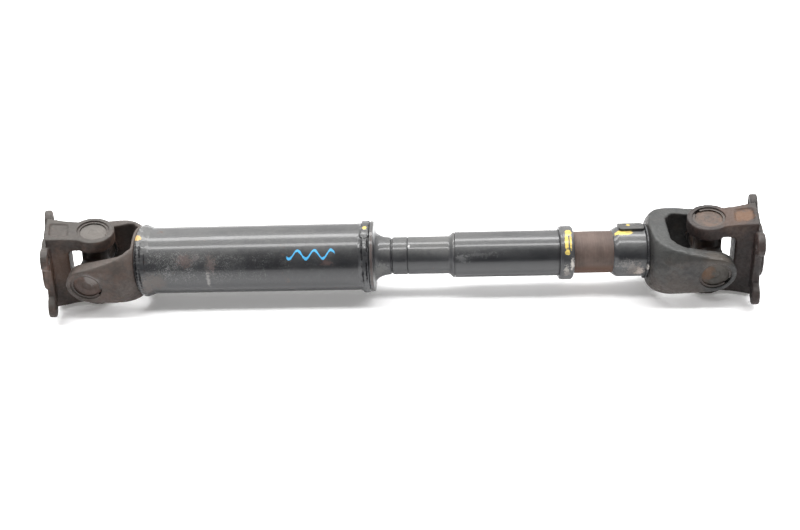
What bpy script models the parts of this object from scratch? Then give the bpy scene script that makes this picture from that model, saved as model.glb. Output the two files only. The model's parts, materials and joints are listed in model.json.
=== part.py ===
"""Universal joint shaft: a tube with a sliding splined end and a cross joint with a
bolt-on flange at each end. Metres, +Z up, the shaft's axis along +X. The origin is the
middle of the tube-end flange's outer face. Each joint rests a few degrees bent."""

import math

import bmesh
import bpy
from mathutils import Euler, Matrix, Vector

MM = 0.001

# ---------------------------------------------------------------- shaft layout, along X from the
# tube-end cross
CROSS_TO_CROSS = 592.4 * MM
TUBE_YOKE_SHOULDER = 46.9 * MM
TUBE_START = 50.0 * MM
TUBE_END = 268.0 * MM
STUB_FACE = 271.5 * MM
GROOVE_AT = 291.6 * MM
SCRIBE_AT = 307.0 * MM
SHOULDER_AT = 351.7 * MM
DUST_TUBE_END = 458.0 * MM
SPLINE_END = 456.0 * MM
SLEEVE_START = 392.0 * MM
BARREL_AT = 502.0 * MM
SLIP_YOKE_NECK = 58.8 * MM       # from the slip-end cross back to the weld

# how the joints rest, in degrees from straight
TUBE_END_TILT = 8.4
TUBE_END_SWING = 12.9
SLIP_END_TILT = -5.4
SLIP_END_SWING = -7.1

# ---------------------------------------------------------------- turned pieces
TUBE_RADIUS = 32.5 * MM
TUBE_WALL = 2.0 * MM
BEAD_HEIGHT = 3.0 * MM
BEAD_WIDTH = 14.0 * MM
STUB_BEAD_WIDTH = 11.0 * MM
STUB_SPIGOT = 13.0 * MM          # how far the stub reaches into the tube
SPIGOT_WALL = 4.0 * MM
STUB_RIM_RISE = 1.8 * MM         # how far the stub's disc stands out from the tube
STUB_DISC = 3.5 * MM
NECK_RADIUS = 18.3 * MM
BELL_RISE = 9.2 * MM             # the bell's foot above the neck
GROOVE_DEPTH = 1.3 * MM
GROOVE_HALF_WIDTH = 1.2 * MM
SCRIBE_SIZE = 0.6 * MM
SHOULDER_RUN = 6.0 * MM          # length of the ogee up to the dust tube
DUST_SEAT_LENGTH = 9.5 * MM
SPLINE_ROOT_LENGTH = 4.2 * MM
SLEEVE_RADIUS = 20.1 * MM
BARREL_WALL = 3.9 * MM           # how far the barrel stands out from the sleeve
DUST_TUBE_WALL = 1.6 * MM
COLLAR_WALL = 3.8 * MM           # how far the collar stands out from the dust tube
COLLAR_LENGTH = 13.8 * MM
COLLAR_OVERHANG = 7.0 * MM       # past the dust tube's end
COLLAR_LIP = 2.4 * MM
COLLAR_LIP_GAP = 1.2 * MM        # round the sleeve
COLLAR_ROUND = 2.2 * MM
SPLINE_RADIUS = 14.8 * MM
SPLINE_DEPTH = 1.6 * MM
SPLINE_TEETH = 12
SPLINE_SETBACK = 8.0 * MM        # where the teeth begin, past the shoulder
BARREL_CHAMFER = 4.6 * MM
BARREL_STEP = 0.9 * MM
BROACH_DEPTH = 1.8 * MM
PLUG_THICKNESS = 2.5 * MM
PLUG_SETBACK = 6.0 * MM          # from the counterbore
COUNTERBORE_SPARE = 1.5 * MM     # beyond the yoke's spigot
WEIGHT_LENGTH = 23.8 * MM
WEIGHT_THICKNESS = 2.8 * MM
WEIGHT_ARC = 34.0                # degrees round the barrel
WEIGHT_LEAN = 18.0               # degrees behind the top
WEIGHT_EDGE = 0.5 * MM
WEIGHT_SETBACK = 0.3 * MM        # from the slip yoke's weld bead
WELD_ROOT_GAP = 0.8 * MM         # between the barrel and the slip yoke's hub
SLIP_BEAD_WIDTH = 3.4 * MM
SLIP_BEAD_LAP = 1.4 * MM         # of the bead over the barrel's end
SLIP_BEAD_HEIGHT = 1.8 * MM
SLIP_SPIGOT_RISE = 1.6 * MM      # the slip yoke's spigot above the sleeve's bore

# ---------------------------------------------------------------- bearings
CUP_RADIUS = 14.5 * MM
CUP_WALL = 2.1 * MM
CUP_LENGTH = 12.2 * MM
CUP_FLOOR = 2.2 * MM
CUP_SINK = 2.9 * MM              # how deep the cup's end sits below the ear's face
RING_THICKNESS = 1.2 * MM
RING_WIDTH = 3.3 * MM
RING_BITE = 1.2 * MM             # how far the ring's groove goes into the ear
NEEDLE_RADIUS = 1.0 * MM
NEEDLES = 12
NEEDLE_SETBACK = 1.2 * MM        # from the cup's mouth
SHOULDER_LIP = 1.3 * MM          # how much smaller the cross's shoulder is than the cup
GREASE_DRILLING = 2.2 * MM
SEAL_THICKNESS = 1.8 * MM
NIPPLE_BOSS_RADIUS = 4.4 * MM
NIPPLE_TURN = (-135, 0, 0)       # from straight up to between the bottom and the rear trunnion

# ---------------------------------------------------------------- yokes
EAR_FACE = 39.5 * MM             # cross centre to each ear's outer face
EAR_THICKNESS = 13.7 * MM
EAR_WALL = 5.3 * MM              # metal round the cup
SHAFT_EAR_WALL = 5.0 * MM
FLANGE_FACE = 39.3 * MM          # cross centre to the flange's inner face
FLANGE_THICKNESS = 7.0 * MM
PILOT_RADIUS = 25.0 * MM
PILOT_HEIGHT = 2.5 * MM
HOLE_SPACING = 59.0 * MM
HOLE_RADIUS = 5.1 * MM
LOBE_RADIUS = 11.0 * MM
TOP_WAIST = 34.0 * MM
SIDE_WAIST = 27.5 * MM
WAIST_HOLLOW = 1.0 * MM          # how far the plate's edges dip between the lobes
CROTCH_WALL = 23.4 * MM
EAR_RISE = 0.13                  # how steeply the ear's outer face rises to the flange
WEB_HALF_WIDTH = 17.0 * MM
NECK_HALF_WIDTH = 14.7 * MM
POCKET_START = 22.8 * MM
POCKET_DEPTH = 2.0 * MM
POCKET_CORNER = 2.5 * MM
POCKET_HALF_WIDTH = 9.5 * MM

FLARE_START = 5.0 * MM           # where a shaft yoke's crotch begins to open out
HUB_WALL = 1.0 * MM              # of a shaft yoke's root, past its weld
HUB_CHAMFER = 0.4 * MM
HUB_OVERLAP = 1.2 * MM           # of the hub's round into the fork

# ---------------------------------------------------------------- clearances
GAP = 0.3 * MM                   # between pieces that touch
SLIDE_GAP = 0.4 * MM             # round the sliding sleeve

ROUND = 28                       # sides of a large round
SMALL_ROUND = 20

# worked out from the sizes above
CUP_END = EAR_FACE - CUP_SINK
CUP_MOUTH = CUP_END - CUP_LENGTH
CUP_INNER_RADIUS = CUP_RADIUS - CUP_WALL
TRUNNION_RADIUS = CUP_INNER_RADIUS - 2 * NEEDLE_RADIUS - 2 * GAP
SHOULDER_RADIUS = CUP_RADIUS - SHOULDER_LIP
EAR_RADIUS = CUP_RADIUS + EAR_WALL
SHAFT_EAR_RADIUS = CUP_RADIUS + SHAFT_EAR_WALL
EAR_INNER = EAR_FACE - EAR_THICKNESS
SEAL_TOP = CUP_MOUTH - GAP
CROSS_SHOULDER = SEAL_TOP - SEAL_THICKNESS - GAP
TRUNNION_END = CUP_END - CUP_FLOOR - GAP
NIPPLE_SEAT = SHOULDER_RADIUS * math.sqrt(2) + NIPPLE_BOSS_RADIUS
BORE_RADIUS = CUP_RADIUS + GAP
GROOVE_RADIUS = BORE_RADIUS + RING_BITE
RING_RADIUS = GROOVE_RADIUS - GAP
FLANGE_OUTER = FLANGE_FACE + FLANGE_THICKNESS
MOUNT_REACH = FLANGE_OUTER + PILOT_HEIGHT
TUBE_INNER = TUBE_RADIUS - TUBE_WALL
SPIGOT_RADIUS = TUBE_INNER - GAP
DUST_TUBE_INNER = SLEEVE_RADIUS + SLIDE_GAP
DUST_TUBE_RADIUS = DUST_TUBE_INNER + DUST_TUBE_WALL
COLLAR_RADIUS = DUST_TUBE_RADIUS + COLLAR_WALL
BARREL_RADIUS = SLEEVE_RADIUS + BARREL_WALL
STUB_SHOULDER_RADIUS = DUST_TUBE_INNER - GAP
YOKE_WELD_AT = CROSS_TO_CROSS - SLIP_YOKE_NECK
BARREL_END = YOKE_WELD_AT - WELD_ROOT_GAP
SLEEVE_BORE = SPLINE_RADIUS + GAP
SEAT_START = SHOULDER_AT + GAP   # where the dust tube's seat begins


# ---------------------------------------------------------------- scene helpers
def clear_scene():
    for thing in list(bpy.data.objects):
        bpy.data.objects.remove(thing, do_unlink=True)


def new_collection(name):
    collection = bpy.data.collections.new(name)
    bpy.context.scene.collection.children.link(collection)
    return collection


def make_material(name, colour, roughness, metallic):
    material = bpy.data.materials.new(name)
    material.use_nodes = True
    shader = material.node_tree.nodes["Principled BSDF"]
    shader.inputs["Base Color"].default_value = (*colour, 1.0)
    shader.inputs["Roughness"].default_value = roughness
    shader.inputs["Metallic"].default_value = metallic
    return material


def add_empty(name, location=(0, 0, 0), turn=(0, 0, 0), parent=None):
    empty = bpy.data.objects.new(name, None)
    empty.location = location
    empty.rotation_euler = Euler([math.radians(angle) for angle in turn])
    empty.parent = parent
    empty.empty_display_size = 20 * MM
    parts.objects.link(empty)
    return empty


def place(name, mesh, material, parent, location=(0, 0, 0), turn=(0, 0, 0), cutter=False):
    """Make an object of a mesh. A cutter goes in the cutters' collection."""
    piece = bpy.data.objects.new(name, mesh)
    piece.location = location
    piece.rotation_euler = Euler([math.radians(angle) for angle in turn])
    piece.parent = parent
    if cutter:
        cutters.objects.link(piece)
        piece.hide_render = True
        piece.display_type = "WIRE"
    else:
        parts.objects.link(piece)
    if material:
        mesh.materials.append(material)
    return piece


def smooth(piece, angle=35):
    piece.data.shade_smooth()
    piece.data.set_sharp_from_angle(angle=math.radians(angle))


def profile_mesh(name, points, closed):
    """A line of points in the XZ plane, as (radius, height)."""
    mesh = bpy.data.meshes.new(name)
    edges = [(i, i + 1) for i in range(len(points) - 1)]
    if closed:
        edges.append((len(points) - 1, 0))
    mesh.from_pydata([(radius, 0, height) for radius, height in points], edges, [])
    return mesh


def turned(name, points, material, parent, location=(0, 0, 0), turn=(0, 0, 0), closed=False,
           steps=ROUND, cutter=False):
    """Turn a profile about its own Z. The profile runs down its outer side."""
    piece = place(name, profile_mesh(name, points, closed), material, parent, location, turn, cutter)
    screw = piece.modifiers.new("turn", "SCREW")
    screw.axis = "Z"
    screw.steps = steps
    screw.render_steps = steps
    screw.use_merge_vertices = True
    screw.merge_threshold = 0.00001
    screw.use_smooth_shade = True
    return piece


def along_shaft(name, points, material, parent, **options):
    """Turn a profile of (distance along +X, radius), from the far end to the near end."""
    return turned(name, [(radius, x) for x, radius in points], material, parent,
                  turn=(0, 90, 0), **options)


def outline_mesh(name, loops, half_depth):
    """A flat outline of one or more loops, extruded both ways along its own Z."""
    curve = bpy.data.curves.new(name, "CURVE")
    curve.dimensions = "2D"
    curve.fill_mode = "BOTH"
    curve.extrude = half_depth
    for loop in loops:
        spline = curve.splines.new("POLY")
        spline.points.add(len(loop) - 1)
        for point, (x, y) in zip(spline.points, loop):
            point.co = (x, y, 0, 1)
        spline.use_cyclic_u = True
    holder = bpy.data.objects.new(name, curve)
    cutters.objects.link(holder)
    depsgraph = bpy.context.evaluated_depsgraph_get()
    mesh = bpy.data.meshes.new_from_object(holder.evaluated_get(depsgraph))
    bpy.data.objects.remove(holder, do_unlink=True)
    work = bmesh.new()
    work.from_mesh(mesh)
    bmesh.ops.remove_doubles(work, verts=work.verts, dist=0.000001)
    bmesh.ops.recalc_face_normals(work, faces=work.faces)
    work.to_mesh(mesh)
    work.free()
    return mesh


def box_mesh(name, size, bevel=0.0):
    """A box about its own middle, its upright edges rounded by bevel."""
    mesh = bpy.data.meshes.new(name)
    work = bmesh.new()
    bmesh.ops.create_cube(work, size=1.0, matrix=Matrix.Diagonal((*size, 1.0)))
    if bevel:
        upright = [edge for edge in work.edges
                   if abs(edge.verts[0].co.z - edge.verts[1].co.z) > size[2] / 2]
        bmesh.ops.bevel(work, geom=upright, offset=bevel, segments=2, affect="EDGES", profile=0.5)
    work.to_mesh(mesh)
    work.free()
    return mesh


def cylinder_mesh(name, radius, depth, sides=SMALL_ROUND):
    mesh = bpy.data.meshes.new(name)
    work = bmesh.new()
    bmesh.ops.create_cone(work, cap_ends=True, segments=sides, radius1=radius, radius2=radius,
                          depth=depth)
    work.to_mesh(mesh)
    work.free()
    return mesh


def boolean(piece, other, operation):
    modifier = piece.modifiers.new(operation.lower(), "BOOLEAN")
    modifier.operation = operation
    modifier.object = other
    modifier.solver = "EXACT"


def arc(centre, radius, start, end, count):
    """Points round an arc, in degrees, both ends included."""
    points = []
    for step in range(count + 1):
        angle = math.radians(start + (end - start) * step / count)
        points.append((centre[0] + radius * math.cos(angle), centre[1] + radius * math.sin(angle)))
    return points


def toothed_loop(outer, inner, teeth):
    """A spline's outline: flat-topped teeth between two radii."""
    points = []
    for tooth in range(teeth):
        for share, radius in ((-0.30, inner), (-0.18, outer), (0.18, outer), (0.30, inner)):
            angle = 2 * math.pi * (tooth + share) / teeth
            points.append((radius * math.cos(angle), radius * math.sin(angle)))
    return points


# ---------------------------------------------------------------- bearings and crosses
# a cup's own Z points outwards along its trunnion: the turn that sends Z there
SEATS = {
    "top": (0, 0, 0),
    "bottom": (180, 0, 0),
    "front": (90, 0, 0),
    "rear": (-90, 0, 0),
}


def bearing_cup(name, parent, turn):
    chamfer = 0.5 * MM
    dimple = 4.6 * MM
    dimple_depth = 0.5 * MM
    points = [
        (0, CUP_END - dimple_depth),
        (dimple, CUP_END - dimple_depth),
        (dimple + chamfer, CUP_END),
        (CUP_RADIUS - chamfer, CUP_END),
        (CUP_RADIUS, CUP_END - chamfer),
        (CUP_RADIUS, CUP_MOUTH),
        (CUP_INNER_RADIUS, CUP_MOUTH),
        (CUP_INNER_RADIUS, CUP_END - CUP_FLOOR),
        (0, CUP_END - CUP_FLOOR),
    ]
    turned(name, points, BEARING_STEEL, parent, turn=turn, steps=SMALL_ROUND)


def snap_ring(name, parent, turn):
    """A C-shaped ring in the ear's groove, outside the cup."""
    opening = 14
    inner = RING_RADIUS - RING_WIDTH
    loop = arc((0, 0), RING_RADIUS, opening, 360 - opening, 22)
    loop += arc((0, 0), inner, 360 - opening, opening, 16)
    mesh = outline_mesh(name, [loop], RING_THICKNESS / 2)
    mesh.transform(Matrix.Translation((0, 0, CUP_END + GAP + RING_THICKNESS / 2)))
    place(name, mesh, SPRING_STEEL, parent, turn=turn)


def needle_rollers(name, parent, turn):
    """The full ring of needles in one cup, joined side by side."""
    pitch = (TRUNNION_RADIUS + CUP_INNER_RADIUS) / 2
    crest = 0.85 * NEEDLE_RADIUS
    valley = 0.4 * NEEDLE_RADIUS
    outer = []
    inner = []
    for needle in range(NEEDLES):
        for share, reach in ((0, crest), (1 / 2, valley)):
            angle = 2 * math.pi * (needle + share) / NEEDLES
            outer.append(((pitch + reach) * math.cos(angle), (pitch + reach) * math.sin(angle)))
        angle = 2 * math.pi * needle / NEEDLES
        inner.append(((pitch - crest) * math.cos(angle), (pitch - crest) * math.sin(angle)))
    low = CUP_MOUTH + NEEDLE_SETBACK
    high = TRUNNION_END
    mesh = outline_mesh(name, [outer, inner], (high - low) / 2)
    mesh.transform(Matrix.Translation((0, 0, (low + high) / 2)))
    place(name, mesh, BEARING_STEEL, parent, turn=turn)


def cup_seal(name, parent, turn):
    low = SEAL_TOP - SEAL_THICKNESS
    inner = TRUNNION_RADIUS + GAP
    outer = CUP_RADIUS - GAP
    chamfer = 0.8 * MM
    points = [
        (outer - chamfer, SEAL_TOP),
        (outer, low),
        (inner, low),
        (inner, SEAL_TOP),
    ]
    turned(name, points, RUBBER, parent, turn=turn, closed=True, steps=16)


def fit_bearings(prefix, seats, parent):
    """Cup, ring, needles and seal in each of a yoke's two ears."""
    for seat in seats:
        bearing_cup(f"{prefix}_bearing_cup_{seat}", parent, SEATS[seat])
        snap_ring(f"{prefix}_snap_ring_{seat}", parent, SEATS[seat])
        needle_rollers(f"{prefix}_needle_rollers_{seat}", parent, SEATS[seat])
        cup_seal(f"{prefix}_cup_seal_{seat}", parent, SEATS[seat])


def spindle_points():
    """Half of a pair of trunnions on one line, mirrored about the middle."""
    chamfer = 0.6 * MM
    upper = [
        (TRUNNION_RADIUS - chamfer, TRUNNION_END),
        (TRUNNION_RADIUS, TRUNNION_END - chamfer),
        (TRUNNION_RADIUS, CROSS_SHOULDER),
        (SHOULDER_RADIUS - chamfer, CROSS_SHOULDER),
        (SHOULDER_RADIUS, CROSS_SHOULDER - chamfer),
    ]
    lower = [(radius, -height) for radius, height in reversed(upper)]
    return [(0, TRUNNION_END)] + upper + lower + [(0, -TRUNNION_END)]


def cross(prefix, parent):
    """Four trunnions in one forging, drilled from end to end for grease."""
    name = f"{prefix}_cross"
    piece = turned(name, spindle_points(), CROSS_STEEL, parent, steps=SMALL_ROUND)
    level = turned(f"{name}_level_pair", spindle_points(), None, parent, turn=(90, 0, 0),
                   steps=SMALL_ROUND, cutter=True)
    boolean(piece, level, "UNION")
    mesh = cylinder_mesh("boss", NIPPLE_BOSS_RADIUS, NIPPLE_SEAT, 12)
    mesh.transform(Matrix.Translation((0, 0, NIPPLE_SEAT / 2)))
    boss = place(f"{name}_boss", mesh, None, parent, turn=NIPPLE_TURN, cutter=True)
    boolean(piece, boss, "UNION")
    for label, turn in (("upright", (0, 0, 0)), ("level", (90, 0, 0))):
        drill = place(f"{name}_{label}_drill",
                      cylinder_mesh("drill", GREASE_DRILLING, 3 * EAR_FACE, 8),
                      None, parent, turn=turn, cutter=True)
        boolean(piece, drill, "DIFFERENCE")
    return piece


def grease_nipple(prefix, parent):
    """On a boss of the cross, between the bottom and the rear trunnion."""
    seat = NIPPLE_SEAT + GAP
    hexagon, hexagon_top = 3.5 * MM, seat + 3.0 * MM
    neck, neck_top = 2.5 * MM, seat + 3.4 * MM
    waist, waist_at = 1.7 * MM, seat + 4.8 * MM
    ball, ball_at = 2.3 * MM, seat + 6.4 * MM
    tip, tip_at = 1.5 * MM, seat + 7.4 * MM
    points = [(0, tip_at), (tip, tip_at), (ball, ball_at), (waist, waist_at), (neck, neck_top),
              (hexagon, hexagon_top), (hexagon, seat), (0, seat)]
    turned(f"{prefix}_grease_nipple", points, BRASS, parent, turn=NIPPLE_TURN, steps=12)


# ---------------------------------------------------------------- flange yokes
def ear_cutters(name, parent, turn):
    """The line bore through both ears, and the ring groove in each."""
    bore = place(f"{name}_bore", cylinder_mesh("bore", BORE_RADIUS, 4 * EAR_FACE), None, parent,
                 turn=turn, cutter=True)
    found = [bore]
    low = CUP_END
    high = low + RING_THICKNESS + 2 * GAP
    for label, sign in (("one", 1), ("other", -1)):
        mesh = cylinder_mesh("groove", GROOVE_RADIUS, high - low)
        mesh.transform(Matrix.Translation((0, 0, sign * (low + high) / 2)))
        found.append(place(f"{name}_groove_{label}", mesh, None, parent, turn=turn, cutter=True))
    return found


def mirrored(points):
    """A half outline above the X axis, followed by its mirror below."""
    return points + [(x, -y) for x, y in reversed(points)]


def flange_side_loop():
    """The fork seen along Y: two ears, the gap between them and the hub, +X to the flange."""
    fillet = 4.5 * MM
    boss = CUP_RADIUS
    back = FLANGE_FACE + 0.5 * FLANGE_THICKNESS
    half = [
        (back, EAR_FACE + (back - boss) * EAR_RISE),
        (boss, EAR_FACE),
        (-EAR_RADIUS - MM, EAR_FACE),
        (-EAR_RADIUS - MM, EAR_INNER),
    ]
    half += arc((CROTCH_WALL - fillet, EAR_INNER - fillet), fillet, 90, 0, 3)
    return mirrored(half)


def flange_plan_loop():
    """The fork seen along Z: round bosses, a narrow neck and a web that widens to the flange."""
    back = FLANGE_FACE + 0.6 * FLANGE_THICKNESS
    start = math.degrees(math.asin(NECK_HALF_WIDTH / EAR_RADIUS))
    loop = arc((0, 0), EAR_RADIUS, start, 360 - start, 22)
    loop += [(CROTCH_WALL, -NECK_HALF_WIDTH), (back, -WEB_HALF_WIDTH)]
    loop += [(back, WEB_HALF_WIDTH), (CROTCH_WALL, NECK_HALF_WIDTH)]
    return loop


def flange_plate_loop():
    """The plate seen along X: four lobes on a square, waisted between them."""
    half = HOLE_SPACING / 2
    top = math.degrees(math.asin((TOP_WAIST - half) / LOBE_RADIUS))
    side = math.degrees(math.acos((SIDE_WAIST - half) / LOBE_RADIUS))
    quarter = [(0, TOP_WAIST - WAIST_HOLLOW), (0.55 * half, TOP_WAIST - 0.6 * WAIST_HOLLOW)]
    quarter += arc((half, half), LOBE_RADIUS, 180 - top, -side, 10)
    quarter += [(SIDE_WAIST - 0.9 * WAIST_HOLLOW, 0.4 * half), (SIDE_WAIST - WAIST_HOLLOW, 0)]
    loop = list(quarter)
    loop += [(y, -z) for y, z in reversed(quarter[:-1])]
    loop += [(-y, -z) for y, z in quarter[1:]]
    loop += [(-y, z) for y, z in reversed(quarter[1:-1])]
    return loop


def flange_yoke(prefix, parent):
    name = f"{prefix}_flange_yoke"
    piece = place(name, outline_mesh(name, [flange_side_loop()], 1.1 * EAR_RADIUS), FORGED_STEEL,
                  parent, turn=(90, 0, 0))
    plan = place(f"{name}_plan", outline_mesh("plan", [flange_plan_loop()], 1.5 * EAR_FACE), None,
                 parent, cutter=True)
    boolean(piece, plan, "INTERSECT")
    plate_middle = (FLANGE_FACE + FLANGE_OUTER) / 2
    plate = place(f"{name}_plate", outline_mesh("plate", [flange_plate_loop()], FLANGE_THICKNESS / 2),
                  None, parent, (plate_middle, 0, 0), (90, 0, 90), cutter=True)
    boolean(piece, plate, "UNION")
    depth = PILOT_HEIGHT + 0.5 * FLANGE_THICKNESS
    pilot = place(f"{name}_pilot", cylinder_mesh("pilot", PILOT_RADIUS, depth, ROUND), None, parent,
                  (MOUNT_REACH - depth / 2, 0, 0), (0, 90, 0), cutter=True)
    boolean(piece, pilot, "UNION")
    for cutter in ear_cutters(name, parent, (0, 0, 0)):
        boolean(piece, cutter, "DIFFERENCE")
    slope = math.degrees(math.atan(EAR_RISE))
    start = POCKET_START
    end = FLANGE_FACE + GAP
    middle = (start + end) / 2
    face = EAR_FACE + (middle - CUP_RADIUS) * EAR_RISE
    for label, sign in (("upper", 1), ("lower", -1)):
        mesh = box_mesh("pocket", (end - start, 2 * POCKET_HALF_WIDTH, 2 * POCKET_DEPTH), POCKET_CORNER)
        pocket = place(f"{name}_{label}_pocket", mesh, None, parent, (middle, 0, sign * face),
                       (0, -sign * slope, 0), cutter=True)
        boolean(piece, pocket, "DIFFERENCE")
    half = HOLE_SPACING / 2
    for number, (y, z) in enumerate(((half, half), (-half, half), (-half, -half), (half, -half))):
        hole = place(f"{name}_hole_{number + 1}",
                     cylinder_mesh("hole", HOLE_RADIUS, 3 * FLANGE_THICKNESS, 16), None, parent,
                     (plate_middle, y, z), (0, 90, 0), cutter=True)
        boolean(piece, hole, "DIFFERENCE")
    return piece


# ---------------------------------------------------------------- shaft-side yokes
# Each is made with its cross at the origin and the shaft along +X, and placed by its parent.
TUBE_YOKE = {
    "weld": TUBE_YOKE_SHOULDER,
    "ring": 2.2 * MM,            # the full round next to the weld
    "crotch": 41.4 * MM,         # cross centre to the bottom of the gap between the ears
    "crotch_rim": 43.4 * MM,     # the same at the top and bottom rims
    "crotch_fillet": 11.0 * MM,
    "root_half_width": 29.5 * MM,
    # how far from the axis the forging reaches, at each distance back from the weld
    "envelope": [(1.4, 34.0), (4.0, 36.2), (9.0, 39.2), (18.0, 41.8), (28.0, 43.2), (46.0, 43.8)],
    "round": TUBE_RADIUS + 1.2 * MM,
    "spigot_radius": SPIGOT_RADIUS,
    "spigot_length": 13.0 * MM,
    "spigot_bore": SPIGOT_RADIUS - SPIGOT_WALL,
}
SLIP_YOKE = {
    "weld": SLIP_YOKE_NECK,
    "ring": 1.5 * MM,
    "crotch": 37.8 * MM,
    "crotch_rim": 40.0 * MM,
    "crotch_fillet": 12.0 * MM,
    "root_half_width": 30.5 * MM,
    "envelope": [(1.4, 28.5), (3.0, 33.0), (6.0, 36.8), (11.0, 40.0), (18.0, 42.2), (30.0, 43.4),
                 (59.0, 43.8)],
    "round": BARREL_RADIUS + 0.4 * MM,
    "spigot_radius": SLEEVE_BORE + SLIP_SPIGOT_RISE,
    "spigot_length": 6.0 * MM,
    "spigot_bore": SLEEVE_BORE - 3.0 * MM,
}


def shaft_side_loop(yoke):
    """The ears seen along Y: round ends that widen to the root."""
    root = yoke["weld"] - yoke["ring"]
    loop = arc((0, 0), SHAFT_EAR_RADIUS, 96, 264, 14)
    loop += [(root, -yoke["root_half_width"]), (root, yoke["root_half_width"])]
    return loop


def shaft_plan_loop(yoke):
    """The fork seen along Z: two ears and a round-bottomed gap between them."""
    root = yoke["weld"] - yoke["ring"] + 0.5 * MM
    end = -SHAFT_EAR_RADIUS - MM
    half = [(root, EAR_FACE), (end, EAR_FACE), (end, EAR_INNER)]
    fillet = yoke["crotch_fillet"]
    half += arc((yoke["crotch"] - fillet, EAR_INNER - fillet), fillet, 90, 0, 5)
    return mirrored(half)


def shaft_yoke(name, yoke, material, parent):
    piece = place(name, outline_mesh(name, [shaft_plan_loop(yoke)], 1.2 * EAR_FACE), material, parent)
    side = place(f"{name}_side", outline_mesh("side", [shaft_side_loop(yoke)], 1.2 * EAR_FACE), None,
                 parent, turn=(90, 0, 0), cutter=True)
    boolean(piece, side, "INTERSECT")
    # the turned envelope rounds the ears' shoulders down to the weld
    outline = [(radius * MM, yoke["weld"] - back * MM) for back, radius in yoke["envelope"]]
    far = -2 * EAR_RADIUS
    outline = [(0, outline[0][1])] + outline + [(outline[-1][0], far), (0, far)]
    envelope = turned(f"{name}_envelope", outline, None, parent, turn=(0, 90, 0), cutter=True)
    boolean(piece, envelope, "INTERSECT")
    # the crotch opens out towards the rim, above and below
    for label, sign in (("upper", 1), ("lower", -1)):
        depth = yoke["crotch_rim"] - yoke["crotch"]
        slope = math.degrees(math.atan2(depth, yoke["root_half_width"] - FLARE_START))
        size = 2 * EAR_FACE
        mesh = box_mesh("flare", (size, 2 * (EAR_INNER - 0.7 * yoke["crotch_fillet"]), size))
        mesh.transform(Matrix.Translation((-size / 2, 0, sign * size / 2)))
        flare = place(f"{name}_{label}_flare", mesh, None, parent, (yoke["crotch"], 0, sign * FLARE_START),
                      (0, sign * slope, 0), cutter=True)
        boolean(piece, flare, "DIFFERENCE")
    # the round at the weld, with its spigot inside the next piece
    start = yoke["weld"] - yoke["ring"] - HUB_OVERLAP
    end = yoke["weld"] + yoke["spigot_length"]
    hub = [
        (0, yoke["weld"] + HUB_WALL),
        (yoke["spigot_bore"], yoke["weld"] + HUB_WALL),
        (yoke["spigot_bore"], end),
        (yoke["spigot_radius"] - HUB_CHAMFER, end),
        (yoke["spigot_radius"], end - HUB_CHAMFER),
        (yoke["spigot_radius"], yoke["weld"]),
        (yoke["round"] - HUB_CHAMFER, yoke["weld"]),
        (yoke["round"], yoke["weld"] - HUB_CHAMFER),
        (yoke["round"], start),
        (0, start),
    ]
    shoulder = turned(f"{name}_hub", hub, None, parent, turn=(0, 90, 0), cutter=True)
    boolean(piece, shoulder, "UNION")
    for cutter in ear_cutters(name, parent, (90, 0, 0)):
        boolean(piece, cutter, "DIFFERENCE")
    return piece


# ---------------------------------------------------------------- the shaft between the joints
def weld_bead(name, middle, width, on_radius, parent, height=BEAD_HEIGHT):
    """A rounded ring of weld, raised on a round of on_radius."""
    inner = on_radius + GAP
    points = []
    for step in range(7):
        angle = math.pi * step / 6
        x = middle + width / 2 * math.cos(angle)
        points.append((x, inner + 0.3 * MM + (height - 0.6 * MM) * math.sin(angle) ** 0.7))
    points += [(middle - width / 2, inner), (middle + width / 2, inner)]
    along_shaft(name, points, WELD_METAL, parent, closed=True)


def main_tube(parent):
    points = [(TUBE_END, TUBE_RADIUS), (TUBE_START, TUBE_RADIUS), (TUBE_START, TUBE_INNER),
              (TUBE_END, TUBE_INNER)]
    along_shaft("main_tube", points, BLACK_PAINT, parent, closed=True)


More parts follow.
